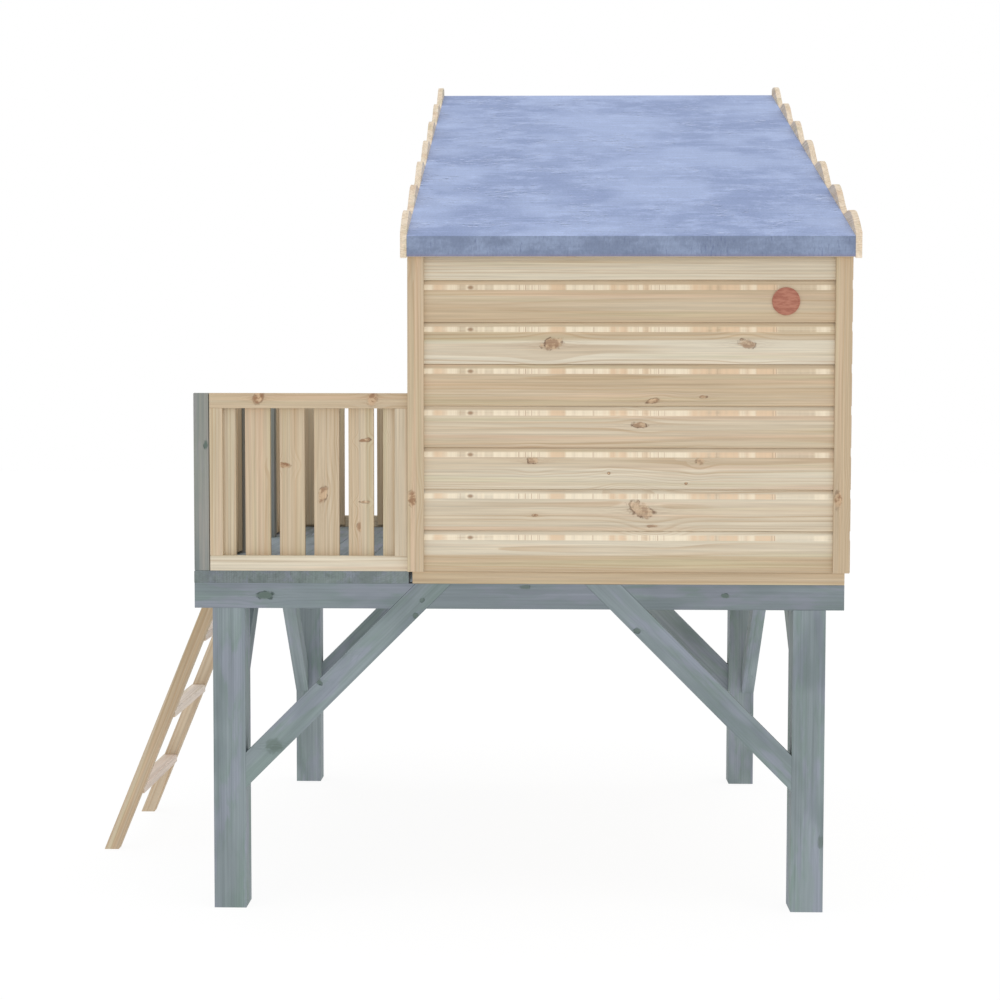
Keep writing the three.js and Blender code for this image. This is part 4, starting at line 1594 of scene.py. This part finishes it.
@dataclass
class Roof:
    """The roof's boards, felt, bargeboards and rafter."""

    shop: Workshop
    roofline: Roofline
    thickness: float = 16 * MM
    board: float = 95 * MM
    board_seam: float = 0.4 * MM
    board_arris: float = 0.8 * MM
    edge_batten: float = 18 * MM
    rafter_arris: float = 1 * MM
    bargeboard_drop: float = 61 * MM
    bargeboard_arris: float = 1.4 * MM
    wave_height: float = 40 * MM
    wave_pitch: float = 287 * MM
    first_crest: float = 1 / 3
    wave_steps: int = 108
    felt: float = 2.2 * MM
    felt_bend: float = 1.2 * MM
    flap_start: float = 3 * MM
    flap_rows: int = 6
    felt_columns: int = 150
    felt_rows: int = 170
    wrinkle: float = 0.9 * MM
    creases: tuple[float, ...] = (0.34, 0.64, 0.93)
    crease_width: float = 0.006
    crease_bend: float = 0.012
    crease_depth: float = 0.6
    edge_sink: float = 0.5
    bargeboard_seed: int = 110
    rafter_seed: int = 120
    board_seed: int = 131

    def build(self) -> None:
        """Builds the roof."""
        self._bargeboards()
        self._felt()
        self._panel()
        lie = Lie(self.roofline.uphill, Axis.Z.vector, self.rafter_seed, tone=0.6)
        self.shop.stand_in("rafter", "pine_frame", lie, self.rafter_arris)

    def _bargeboards(self) -> None:
        """Builds the two waved boards."""
        line = self.roofline
        for number, end in enumerate(("porch", "back")):
            low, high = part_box(f"bargeboard_{end}")
            bm = self.shop.run(
                self.shop.wavy_boards, bmesh.new(), "pine_bargeboard",
                Start=(low.x, low.y, line.felt(low.y)), Run=line.high.y - line.low.y,
                Slope=line.slope, Drop=self.bargeboard_drop, Pitch=self.wave_pitch,
                Lift=self.wave_height, Crest=self.first_crest, Thickness=high.x - low.x,
                Steps=self.wave_steps,
            )
            bmesh.ops.recalc_face_normals(bm, faces=bm.faces)
            soften(bm, self.bargeboard_arris, 40)
            seed = self.bargeboard_seed + number
            lie = Lie(line.uphill, Axis.Z.vector, seed, tone=0.35, spread=0.1)
            name, nodes = f"{end}_bargeboard", (f"bargeboard_{end}",)
            self.shop.dress(bm, name, "pine_bargeboard", nodes, lie)

    def _felt_path(self) -> list[tuple[float, float, float, float]]:
        """Gives the felt's line from its low edge over the roof to its high edge.

        Returns:
            Points of y, z and the outward normal's y and z.
        """
        line = self.roofline
        low, high = line.low.y, line.high.y
        drop, rows = RoofFelt.drop, self.flap_rows
        drops = [self.flap_start, *(drop * (i + 1) / rows for i in range(rows))]
        run = high - low - 2 * self.felt_bend
        places = [low + self.felt_bend + run * i / self.felt_rows for i in range(self.felt_rows + 1)]
        return [
            *((low, line.felt(low) - depth, -1.0, 0.0) for depth in reversed(drops)),
            *((y, line.felt(y), line.normal.y, line.normal.z) for y in places),
            *((high, line.felt(high) - depth, 1.0, 0.0) for depth in drops),
        ]

    def _sink(self, x: float, y: float, run: float) -> float:
        """Gives how far the felt lies under its highest level.

        Args:
            x: The place across the roof.
            y: The place up the roof.
            run: The share of the way up the roof.

        Returns:
            The depth, from 0 to about the wrinkles' height.
        """
        broad = noise.noise(Vector((x * 2.2, y * 6.0, 3.7)))
        fine = noise.noise(Vector((x * 9.0, y * 38.0, 9.1)))
        depth = 0.5 + 0.32 * broad + 0.22 * fine
        for place in self.creases:
            bend = self.crease_bend * noise.noise(Vector((x * 4.0, place * 50, 0.5)))
            off = (run - place - bend) / self.crease_width
            reach = max(0.0, noise.noise(Vector((x * 3.0, place * 9.0, 6.5))) + 0.35)
            depth -= self.crease_depth * reach * math.exp(-off * off)
        return self.wrinkle * min(1.0, max(0.0, depth))

    def _felt(self) -> None:
        """Builds the felt as one wrinkled sheet, turned down over both edges."""
        line = self.roofline
        low, high = line.low, line.high
        path = self._felt_path()
        bm = bmesh.new()
        drops = bm.verts.layers.float_vector.new(FELT_DROP)
        outer, inner = [], []
        for i in range(self.felt_columns + 1):
            x = low.x + (high.x - low.x) * i / self.felt_columns
            for grid, depth in ((outer, 0.0), (inner, self.felt)):
                column = []
                for y, z, ny, nz in path:
                    sink = self._sink(x, y + z, (y - low.y) / (high.y - low.y))
                    reach = depth + (sink if nz else sink * self.edge_sink)
                    vert = bm.verts.new((x, y - ny * reach, z - nz * reach))
                    if not nz:
                        vert[drops] = Vector((line.felt(y) - z, 0.0, 0.0))
                    column.append(vert)
                grid.append(column)
        last = len(path) - 1
        for i in range(self.felt_columns):
            a, b, c, d = outer[i], outer[i + 1], inner[i], inner[i + 1]
            for j in range(last):
                bm.faces.new((a[j], b[j], b[j + 1], a[j + 1]))
                bm.faces.new((c[j], c[j + 1], d[j + 1], d[j]))
            for j in (0, last):
                bm.faces.new((a[j], c[j], d[j], b[j]))
        for a, c in ((outer[0], inner[0]), (outer[-1], inner[-1])):
            for j in range(last):
                bm.faces.new((a[j], a[j + 1], c[j + 1], c[j]))
        bmesh.ops.recalc_face_normals(bm, faces=bm.faces)
        self.shop.dress(bm, "felt_sheet", "roof_felt", ("roof_felt",), smooth=50)

    def _panel(self) -> None:
        """Builds the boards under the felt and the two edge battens."""
        low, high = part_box("roof_panel")
        line = self.roofline
        uphill = line.uphill.normalized()
        run = (high.y - low.y) / uphill.y
        count = round(run / self.board)
        start = Vector((0, low.y, line.underside(low.y)))
        across = uphill * (run / count - self.board_seam)
        up = line.normal * self.thickness
        corners = (start, start + across, start + across + up, start + up)
        base = prism(Axis.X, [(p.y, p.z) for p in corners], low.x, high.x)
        base = soften(base, self.board_arris)
        parts = [self.shop.row(base, count, uphill * (run / count), "pine_frame")]
        for point, outwards in ((low, -Axis.Y.vector), (high, Axis.Y.vector)):
            trim(parts[0], (0, point.y, 0), outwards)
        edges = ((low.y, line.low.y), (high.y - self.edge_batten, line.high.y))
        for start, felt_edge in edges:
            end = start + self.edge_batten
            bottom = line.felt(felt_edge) - RoofFelt.drop
            outline = [
                (start, bottom), (end, bottom), (end, line.underside(end)),
                (start, line.underside(start)),
            ]
            parts.append(prism(Axis.X, outline, low.x, high.x))
        lie = Lie(Axis.X.vector, uphill, self.board_seed)
        self.shop.dress(gather(parts), "roof_boards", "pine_frame", ("roof_panel",), lie)


@dataclass
class Door:
    """The hinged door: its leaf, knob and hinges, with the brackets on the playhouse."""

    shop: Workshop
    boards: int = 5
    board_thickness: float = 12 * MM
    board_gap: float = 1 * MM
    groove: float = 5 * MM
    ledge: float = 70 * MM
    ledge_inset: float = 25 * MM
    ledge_from_end: float = 120 * MM
    ledge_arris: float = 1.5 * MM
    hinge_arris: float = 0.4 * MM
    plate: float = 3 * MM
    screw_radius: float = 4.2 * MM
    screw_height: float = 1.6 * MM
    screw_inset: float = 12 * MM
    bracket_screws: tuple[float, ...] = (12 * MM, 44 * MM)
    strap_screw_shares: tuple[float, ...] = (0.1, 0.42, 0.76)
    board_seed: int = 141
    ledge_seed: int = 142
    knob_seed: int = 145

    def build(self) -> None:
        """Builds the door on its own body, and the brackets on the playhouse."""
        self._leaf()
        lie = Lie(Axis.X.vector, Axis.Z.vector, self.knob_seed, tone=0.8)
        knob = self.shop.copy_of("door_knob")
        self.shop.dress(knob, "knob", "ladder_pine", ("door_knob",), lie, Body.DOOR, 40)
        for height in ("lower", "upper"):
            for part, body in (("strap", Body.DOOR), ("bracket", Body.PLAYHOUSE)):
                node = f"hinge_{part}_{height}"
                bm = soften(self.shop.copy_of(node), self.hinge_arris, 50)
                name, looks = f"{node}_steel", {"body": body, "smooth": 35}
                self.shop.dress(bm, name, "hinge_steel", (node,), **looks)
        self._screws()

    def _leaf(self) -> None:
        """Builds the leaf's boards, ledges and slanting brace."""
        low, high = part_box("door_leaf")
        width = (high.y - low.y) / self.boards
        inner = low.x + self.board_thickness
        gap = self.board_gap / 2
        base = box((low.x, low.y + gap, low.z), (inner, low.y + width - gap, high.z))
        soften(base, self.groove / 2)
        row = self.shop.row(base, self.boards, Vector((0, width, 0)), "pine_door")
        bottom = low.z + self.ledge_from_end
        top = high.z - self.ledge_from_end - self.ledge
        near, far = low.y + self.ledge_inset, high.y - self.ledge_inset
        parts = [box((inner, near, z), (high.x, far, z + self.ledge)) for z in (bottom, top)]
        start = bottom + self.ledge
        slant = [(far, start), (far - self.ledge, start), (near, top), (near + self.ledge, top)]
        parts.append(prism(Axis.X, slant, inner, high.x))
        for bm in parts:
            soften(bm, self.ledge_arris)
        upright = Lie(Axis.Z.vector, Axis.Y.vector, self.board_seed, tone=0.45)
        level = Lie(Axis.Y.vector, Axis.Z.vector, self.ledge_seed)
        self.shop.dress(row, "door_boards", "pine_door", ("door_leaf",), upright, Body.DOOR)
        self.shop.dress(gather(parts), "door_ledges", "pine_door", (), level, Body.DOOR)

    def _head(self) -> bpy.types.Object:
        """Makes one domed screw head with a star recess, looking along Z.

        Returns:
            A scratch object.
        """
        bm = bmesh.new()
        sides, pit_share = 16, 0.25
        star = [0.16 if i % 4 else 0.5 for i in range(sides)]
        profile = (([1.0] * sides, 0.0), ([0.92] * sides, 0.45), ([0.62] * sides, 0.9), (star, 1.0))
        loops = []
        for shares, lift in profile:
            loop = []
            for i, share in enumerate(shares):
                angle, reach = math.tau * i / sides, share * self.screw_radius
                place = (reach * math.cos(angle), reach * math.sin(angle), lift * self.screw_height)
                loop.append(bm.verts.new(place))
            loops.append(loop)
        for low, high in zip(loops, loops[1:]):
            for i in range(sides):
                j = (i + 1) % sides
                bm.faces.new((low[i], low[j], high[j], high[i]))
        pit = bm.verts.new((0.0, 0.0, pit_share * self.screw_height))
        for i, vert in enumerate(loops[-1]):
            bm.faces.new((vert, loops[-1][(i + 1) % sides], pit))
        bm.faces.new(loops[0][::-1])
        return place_object("screw_head", mesh_of(bm, "screw_head"))

    def _screws(self) -> None:
        """Puts the screws on the straps and the brackets."""
        head = self._head()
        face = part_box("door_leaf")[0].x - self.plate
        rows = {"strap": (Body.DOOR, bmesh.new()), "bracket": (Body.PLAYHOUSE, bmesh.new())}
        for height in ("lower", "upper"):
            low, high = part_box(f"hinge_strap_{height}")
            for share in self.strap_screw_shares:
                y = low.y + (high.y - low.y) * share
                rows["strap"][1].verts.new((face, y, (low.z + high.z) / 2))
            low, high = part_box(f"hinge_bracket_{height}")
            for inset in self.bracket_screws:
                for z in (low.z + self.screw_inset, high.z - self.screw_inset):
                    rows["bracket"][1].verts.new((face, high.y - inset, z))
        for number, (name, (body, points)) in enumerate(rows.items()):
            inputs = {"Head": head, "Axis": (-1.0, 0.0, 0.0), "Seed": number}
            bm = self.shop.run(self.shop.screws, points, "hinge_steel", **inputs)
            self.shop.dress(bm, f"{name}_screws", "hinge_steel", body=body, smooth=30)
        mesh = head.data
        bpy.data.objects.remove(head)
        bpy.data.meshes.remove(mesh)


@dataclass
class Window:
    """The window's trim and its cross of bars."""

    shop: Workshop
    trim: float = 30 * MM
    bar: float = 18 * MM
    arris: float = 1.2 * MM
    rail_seed: int = 150
    stile_seed: int = 151

    def build(self) -> None:
        """Builds the trim and the bars."""
        low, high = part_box("window_trim")
        middle = (low + high) / 2
        half = self.bar / 2
        wide, tall = (low.y, high.y), (low.z + self.trim, high.z - self.trim)
        left, right = (low.y, low.y + self.trim), (high.y - self.trim, high.y)
        bar_y, bar_z = ((place - half, place + half) for place in (middle.y, middle.z))
        level = [
            (wide, (low.z, tall[0])),
            (wide, (tall[1], high.z)),
            ((left[1], bar_y[0]), bar_z),
            ((bar_y[1], right[0]), bar_z),
        ]
        upright = [(left, tall), (right, tall), (bar_y, tall)]
        level_lie = Lie(Axis.Y.vector, Axis.Z.vector, self.rail_seed)
        upright_lie = Lie(Axis.Z.vector, Axis.Y.vector, self.stile_seed)
        rows = (
            ("window_rails", level, level_lie, ("window_trim",)),
            ("window_stiles", upright, upright_lie, ()),
        )
        for name, ranges, lie, nodes in rows:
            parts = [
                soften(box((low.x, y[0], z[0]), (high.x, y[1], z[1])), self.arris) for y, z in ranges
            ]
            self.shop.dress(gather(parts), name, "pine_trim", nodes, lie)


@dataclass
class Ladder:
    """The ladder: two leaning stiles with treads let into them."""

    shop: Workshop
    treads: int = 3
    stile_width: float = 45 * MM
    arris: float = 2 * MM
    stile_seed: int = 160
    tread_seed: int = 165

    def build(self) -> None:
        """Builds the stiles and the treads."""
        low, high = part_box("ladder_stile_near")
        lean = Vector((high.x - low.x - self.stile_width, 0, high.z - low.z))
        across = Vector((lean.z, 0, -lean.x))
        for number, side in enumerate(("near", "far")):
            lie = Lie(lean, across, self.stile_seed + number, tone=0.6)
            self.shop.stand_in(f"ladder_stile_{side}", "ladder_pine", lie, self.arris)
        names = [f"ladder_tread_{i + 1}" for i in range(self.treads)]
        low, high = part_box(names[0])
        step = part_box(names[1])[0] - low
        row = self.shop.row(soften(box(low, high), self.arris), self.treads, step, "ladder_tread")
        lie = Lie(Axis.Y.vector, Axis.X.vector, self.tread_seed, tone=0.45)
        self.shop.dress(row, "ladder_treads", "ladder_tread", names, lie)


@dataclass
class WallDisc:
    """The plain round disc on the low wall."""

    shop: Workshop
    arris: float = 0.5 * MM

    def build(self) -> None:
        """Builds the disc."""
        bm = soften(self.shop.copy_of("wall_disc"), self.arris, 50)
        self.shop.dress(bm, "copper_disc", "copper_disc", ("wall_disc",), smooth=30)


LOW_WALL_KNOTS = (
    Knot(0.992, 1.577, 66 * MM, 36 * MM, 0.15, 0.8, 1.0),
    Knot(1.525, 1.578, 52 * MM, 30 * MM, -0.1, 0.7, 0.8),
    Knot(1.269, 1.422, 44 * MM, 16 * MM, 0.25, 0.8, 0.9),
    Knot(1.406, 1.433, 24 * MM, 10 * MM, 0.0, 0.8, 0.8),
    Knot(1.234, 1.356, 46 * MM, 18 * MM, -0.1, 0.75, 1.0),
    Knot(0.940, 1.259, 32 * MM, 24 * MM, 0.0, 0.6, 1.0),
    Knot(1.399, 1.257, 30 * MM, 24 * MM, 0.3, 0.6, 1.0),
    Knot(1.238, 1.122, 84 * MM, 46 * MM, -0.5, 0.6, 0.9),
    Knot(1.268, 1.078, 46 * MM, 9 * MM, 0.0, 0.7, 0.6),
    Knot(0.946, 1.107, 22 * MM, 8 * MM, 0.0, 0.9, 1.0),
    Knot(1.149, 1.223, 9 * MM, 9 * MM, 0.0, 1.0, 1.0),
    Knot(1.361, 1.196, 9 * MM, 8 * MM, 0.0, 1.0, 1.0),
)
TRIM_KNOTS = (
    Knot(0.608, 1.154, 26 * MM, 52 * MM, 0.0, 0.9, 0.5),
    Knot(1.776, 1.152, 26 * MM, 54 * MM, 0.0, 0.9, 0.5),
)
RAIL_KNOTS = (
    Knot(0.180, 1.428, 46 * MM, 28 * MM, 0.8, 1.0, 0.4),
    Knot(0.497, 1.424, 30 * MM, 46 * MM, -0.3, 0.9, 0.3),
)
SLAT_KNOTS = (
    Knot(0.248, 1.242, 38 * MM, 20 * MM, 0.0, 1.0, 0.4),
    Knot(0.357, 1.159, 28 * MM, 54 * MM, -0.2, 0.8, 0.7),
    Knot(0.474, 1.312, 36 * MM, 12 * MM, 0.1, 0.9, 0.9),
    Knot(0.474, 1.140, 30 * MM, 9 * MM, 0.0, 0.7, 0.9),
)
BEAM_KNOTS = (
    Knot(0.197, 0.880, 52 * MM, 24 * MM, 0.0, 1.0, 1.0),
    Knot(1.472, 0.884, 24 * MM, 14 * MM, 0.0, 1.0, 1.0),
    Knot(0.919, 0.907, 34 * MM, 16 * MM, 0.0, 0.8, 0.6),
)
BRACE_KNOTS = (
    Knot(1.229, 0.786, 24 * MM, 16 * MM, 0.0, 0.9, 0.8),
    Knot(0.221, 0.458, 50 * MM, 46 * MM, 0.0, 0.6, 0.1),
    Knot(0.345, 0.641, 30 * MM, 16 * MM, -0.8, 1.0, 1.0),
    Knot(0.403, 0.720, 40 * MM, 24 * MM, -0.6, 0.4, 0.1),
    Knot(0.616, 0.826, 16 * MM, 16 * MM, 0.0, 0.9, 0.8),
)
LEG_KNOTS = (
    Knot(1.743, 0.199, 22 * MM, 40 * MM, 0.0, 0.6, 0.3),
    Knot(1.733, 0.412, 20 * MM, 30 * MM, 0.0, 0.6, 0.3, 1.71),
)
POST_KNOTS = (Knot(0.035, 1.298, 14 * MM, 26 * MM, 0.0, 1.0, 1.0),)


def make_finishes(corner: Vector) -> dict[str, tuple[Material, Slot]]:
    """Makes every finish.

    Args:
        corner: The platform's near porch corner.

    Returns:
        The material and the record's slot of each finish, by its name.
    """
    patterns = Patterns(corner)
    sideways = {"across": (1.0, 0.0, 0.0)}
    scoop = {"scoop_from": Walls.cover / 2 - Walls.scoop_height}
    rare = {"knot_share": 0.05}
    bare = {"knot_share": 0.0}
    woods = (
        Pine("pine_low_wall", Slot.CLADDING, knots=LOW_WALL_KNOTS, scoop_knot=-0.436, **bare, **scoop),
        Pine("pine_cladding", Slot.CLADDING, **scoop),
        Pine("pine_trim", Slot.TRIM, knots=TRIM_KNOTS, **sideways, **rare),
        Pine("pine_rail", Slot.RAILING, knots=RAIL_KNOTS, ring_contrast=0.65, **bare),
        Pine(
            "pine_slat", Slot.RAILING, knots=SLAT_KNOTS, knot_share=0.04, ring_contrast=0.6,
            **sideways,
        ),
        Pine("pine_sill", Slot.FRAME, knot_share=0.1),
        Pine("pine_frame", Slot.FRAME, knot_share=0.4),
        Pine("pine_door", Slot.DOOR),
        Pine(
            "pine_bargeboard", Slot.TRIM, pale=srgb(242, 228, 208), tan=srgb(224, 203, 174),
            end=srgb(244, 230, 212), **rare,
        ),
        Pine(
            "ladder_pine", Slot.LADDER, pale=srgb(208, 192, 168), tan=srgb(182, 158, 127),
            ring_contrast=0.7, **rare,
        ),
        # Paler than ladder_pine: partly the treads' own pale pinkish wood, partly painted light standing
        # for the light on their upturned tops.
        Pine(
            "ladder_tread", Slot.LADDER, pale=srgb(238, 226, 214), tan=srgb(224, 206, 192),
            late=srgb(196, 172, 150), **rare,
        ),
        StainedTimber("stained_leg", Slot.STAINED, knots=LEG_KNOTS, knot_share=0.08, **sideways),
        StainedTimber(
            "stained_beam", Slot.STAINED, grey=srgb(126, 136, 141), green=srgb(120, 134, 133),
            violet=srgb(132, 138, 148), knots=BEAM_KNOTS, **bare,
        ),
        StainedTimber(
            "stained_brace", Slot.STAINED, grey=srgb(134, 145, 149), green=srgb(125, 140, 138),
            violet=srgb(138, 145, 156), knots=BRACE_KNOTS,
        ),
        # Paler, bluer greys than the other stains: partly the decking's own colour, partly painted light
        # offsetting the shade that the railings cast on the porch floor. end_tint takes the sawn ends
        # back to their darker colour.
        StainedTimber(
            "stained_decking", Slot.STAINED, grey=srgb(140, 151, 160), green=srgb(132, 146, 150),
            violet=srgb(142, 150, 168), comb=0.16,
        ),
        StainedTimber(
            "stained_post", Slot.STAINED, grey=srgb(145, 143, 137), green=srgb(139, 141, 133),
            violet=srgb(146, 144, 142), knots=POST_KNOTS, **bare, **sideways,
        ),
    )
    steel = (srgb(168, 171, 174), srgb(142, 146, 150), 0.85, 0.42)
    copper = (srgb(180, 120, 98), srgb(160, 98, 78), 0.15, 0.5, (40.0, 40.0, 160.0))
    others = (
        RoofFelt(),
        Metal("hinge_steel", Slot.STEEL, *steel),
        Metal("copper_disc", Slot.COPPER, *copper),
    )
    finishes = {wood.name: (wood.build(patterns), wood.slot) for wood in woods}
    return finishes | {other.name: (other.build(), other.slot) for other in others}


@dataclass(frozen=True)
class Lamp:
    """A soft, far lamp: the direction that it stands in, its brightness and its width in degrees."""

    name: str
    towards: Triple
    energy: float
    spread: float


@dataclass
class Studio:
    """The floor, the light and the camera."""

    camera_place: Triple = (0.26501, -5.94660, 1.42250)
    yaw: float = 0.02401
    pitch: float = 0.054352
    roll: float = 0.0016965
    lens: float = 65.873
    sensor: float = 36.0
    view_end: float = 200.0
    floor_side: float = 60.0
    floor_level: float = -0.5 * MM
    floor_colour: Triple = (0.9, 0.9, 0.9)
    floor_glow: float = 1.05
    floor_seen: float = 0.86
    floor_bounce: float = 0.85
    sky: float = 0.7
    lamps: tuple[Lamp, ...] = (
        Lamp("front_lamp", (0.06, -0.98, 0.15), 0.27, 20.0),
        Lamp("top_lamp", (0.1, -0.12, 0.98), 0.57, 50.0),
    )

    def build(self) -> None:
        """Builds the studio."""
        bpy.context.scene.view_settings.view_transform = "Standard"
        self._camera()
        self._floor()
        self._light()

    def _camera(self) -> None:
        """Sets the camera at the photograph's place and angle."""
        data = bpy.data.cameras.new("camera")
        data.lens = self.lens
        data.sensor_width = self.sensor
        data.sensor_fit = "HORIZONTAL"
        data.clip_end = self.view_end
        camera = place_object("camera", data)
        level = math.cos(self.pitch)
        ahead = (-math.sin(self.yaw) * level, math.cos(self.yaw) * level, -math.sin(self.pitch))
        forward = Vector(ahead)
        right = Vector((math.cos(self.yaw), math.sin(self.yaw), 0.0))
        up = right.cross(forward)
        turned_right = right * math.cos(self.roll) + up * math.sin(self.roll)
        turned_up = up * math.cos(self.roll) - right * math.sin(self.roll)
        turn = Matrix((turned_right, turned_up, -forward)).transposed().to_4x4()
        camera.matrix_world = Matrix.Translation(self.camera_place) @ turn
        bpy.context.scene.camera = camera

    def _seen(self, g: Graph, share: float, other: float) -> Socket:
        """Gives one value to what the camera sees, in a mirror or glass too, and another to light.

        Args:
            g: The tree.
            share: The value that is seen.
            other: The value for the light that falls on other things.

        Returns:
            The value.
        """
        rays = g.add("ShaderNodeLightPath").outputs
        names = ("Is Camera Ray", "Is Glossy Ray", "Is Transmission Ray")
        seen = reduce(lambda one, two: g.calc("MAXIMUM", one, two), [rays[name] for name in names])
        return g.scaled(seen, share - other, other)

    def _floor(self) -> None:
        """Lays a pale floor that keeps a faint shadow."""
        half = self.floor_side / 2
        bm = bmesh.new()
        corners = [(-half, -half), (half, -half), (half, half), (-half, half)]
        bm.faces.new([bm.verts.new((x, y, self.floor_level)) for x, y in corners])
        floor = place_object("floor", mesh_of(bm, "floor"))
        g = MaterialGraph("studio_floor")
        matt = {"Base Color": self.floor_colour, "Roughness": 0.9, "Specular IOR Level": 0.0}
        for name, value in matt.items():
            g.feed(g.shader.inputs[name], value)
        glow = g.add("ShaderNodeEmission", {"Strength": self.floor_glow}).outputs[0]
        share = self._seen(g, self.floor_seen, self.floor_bounce)
        mixed = g.add("ShaderNodeMixShader", {0: share, 1: g.shader.outputs[0], 2: glow})
        g.feed(g.tree.nodes["Material Output"].inputs[0], mixed.outputs[0])
        floor.data.materials.append(g.material)

    def _light(self) -> None:
        """Sets a soft sky, white where it is seen, and the lamps."""
        world = bpy.data.worlds.new("studio")
        world.use_nodes = True
        g = Graph(world.node_tree)
        background = world.node_tree.nodes["Background"].inputs
        g.feed(background["Color"], (1.0, 1.0, 1.0))
        g.feed(background["Strength"], self._seen(g, 1.0, self.sky))
        bpy.context.scene.world = world
        for lamp in self.lamps:
            data = bpy.data.lights.new(lamp.name, "SUN")
            data.energy = lamp.energy
            data.angle = math.radians(lamp.spread)
            turn = Vector(lamp.towards).to_track_quat("Z", "Y").to_matrix()
            place_object(lamp.name, data).matrix_world = turn.to_4x4()


def main() -> None:
    """Builds the playhouse around its frame, and the studio."""
    logging.basicConfig(level=logging.INFO, format="%(message)s")
    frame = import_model()
    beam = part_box("beam_near")[0]
    shop = Workshop(frame["nodes"], make_finishes(Vector((beam.x, beam.y, 0.0))))
    roofline = Roofline(beam.y)
    far_slats = {"frame_inwards": True, "slat_shift": 16 * MM}
    assemblies = [
        Platform(shop),
        Porch(shop),
        RailingPanel(shop, "side_railing_near", Axis.X, 200),
        RailingPanel(shop, "side_railing_far", Axis.X, 210, **far_slats),
        RailingPanel(shop, "front_railing_near", Axis.Y, 220),
        RailingPanel(shop, "front_railing_far", Axis.Y, 230),
        HouseFloor(shop),
        Walls(shop, roofline),
        Roof(shop, roofline),
        Door(shop),
        Window(shop),
        Ladder(shop),
        WallDisc(shop),
        Studio(),
    ]
    for assembly in assemblies:
        log.info("building %s", type(assembly).__name__)
        assembly.build()


if __name__ == "__main__":
    main()
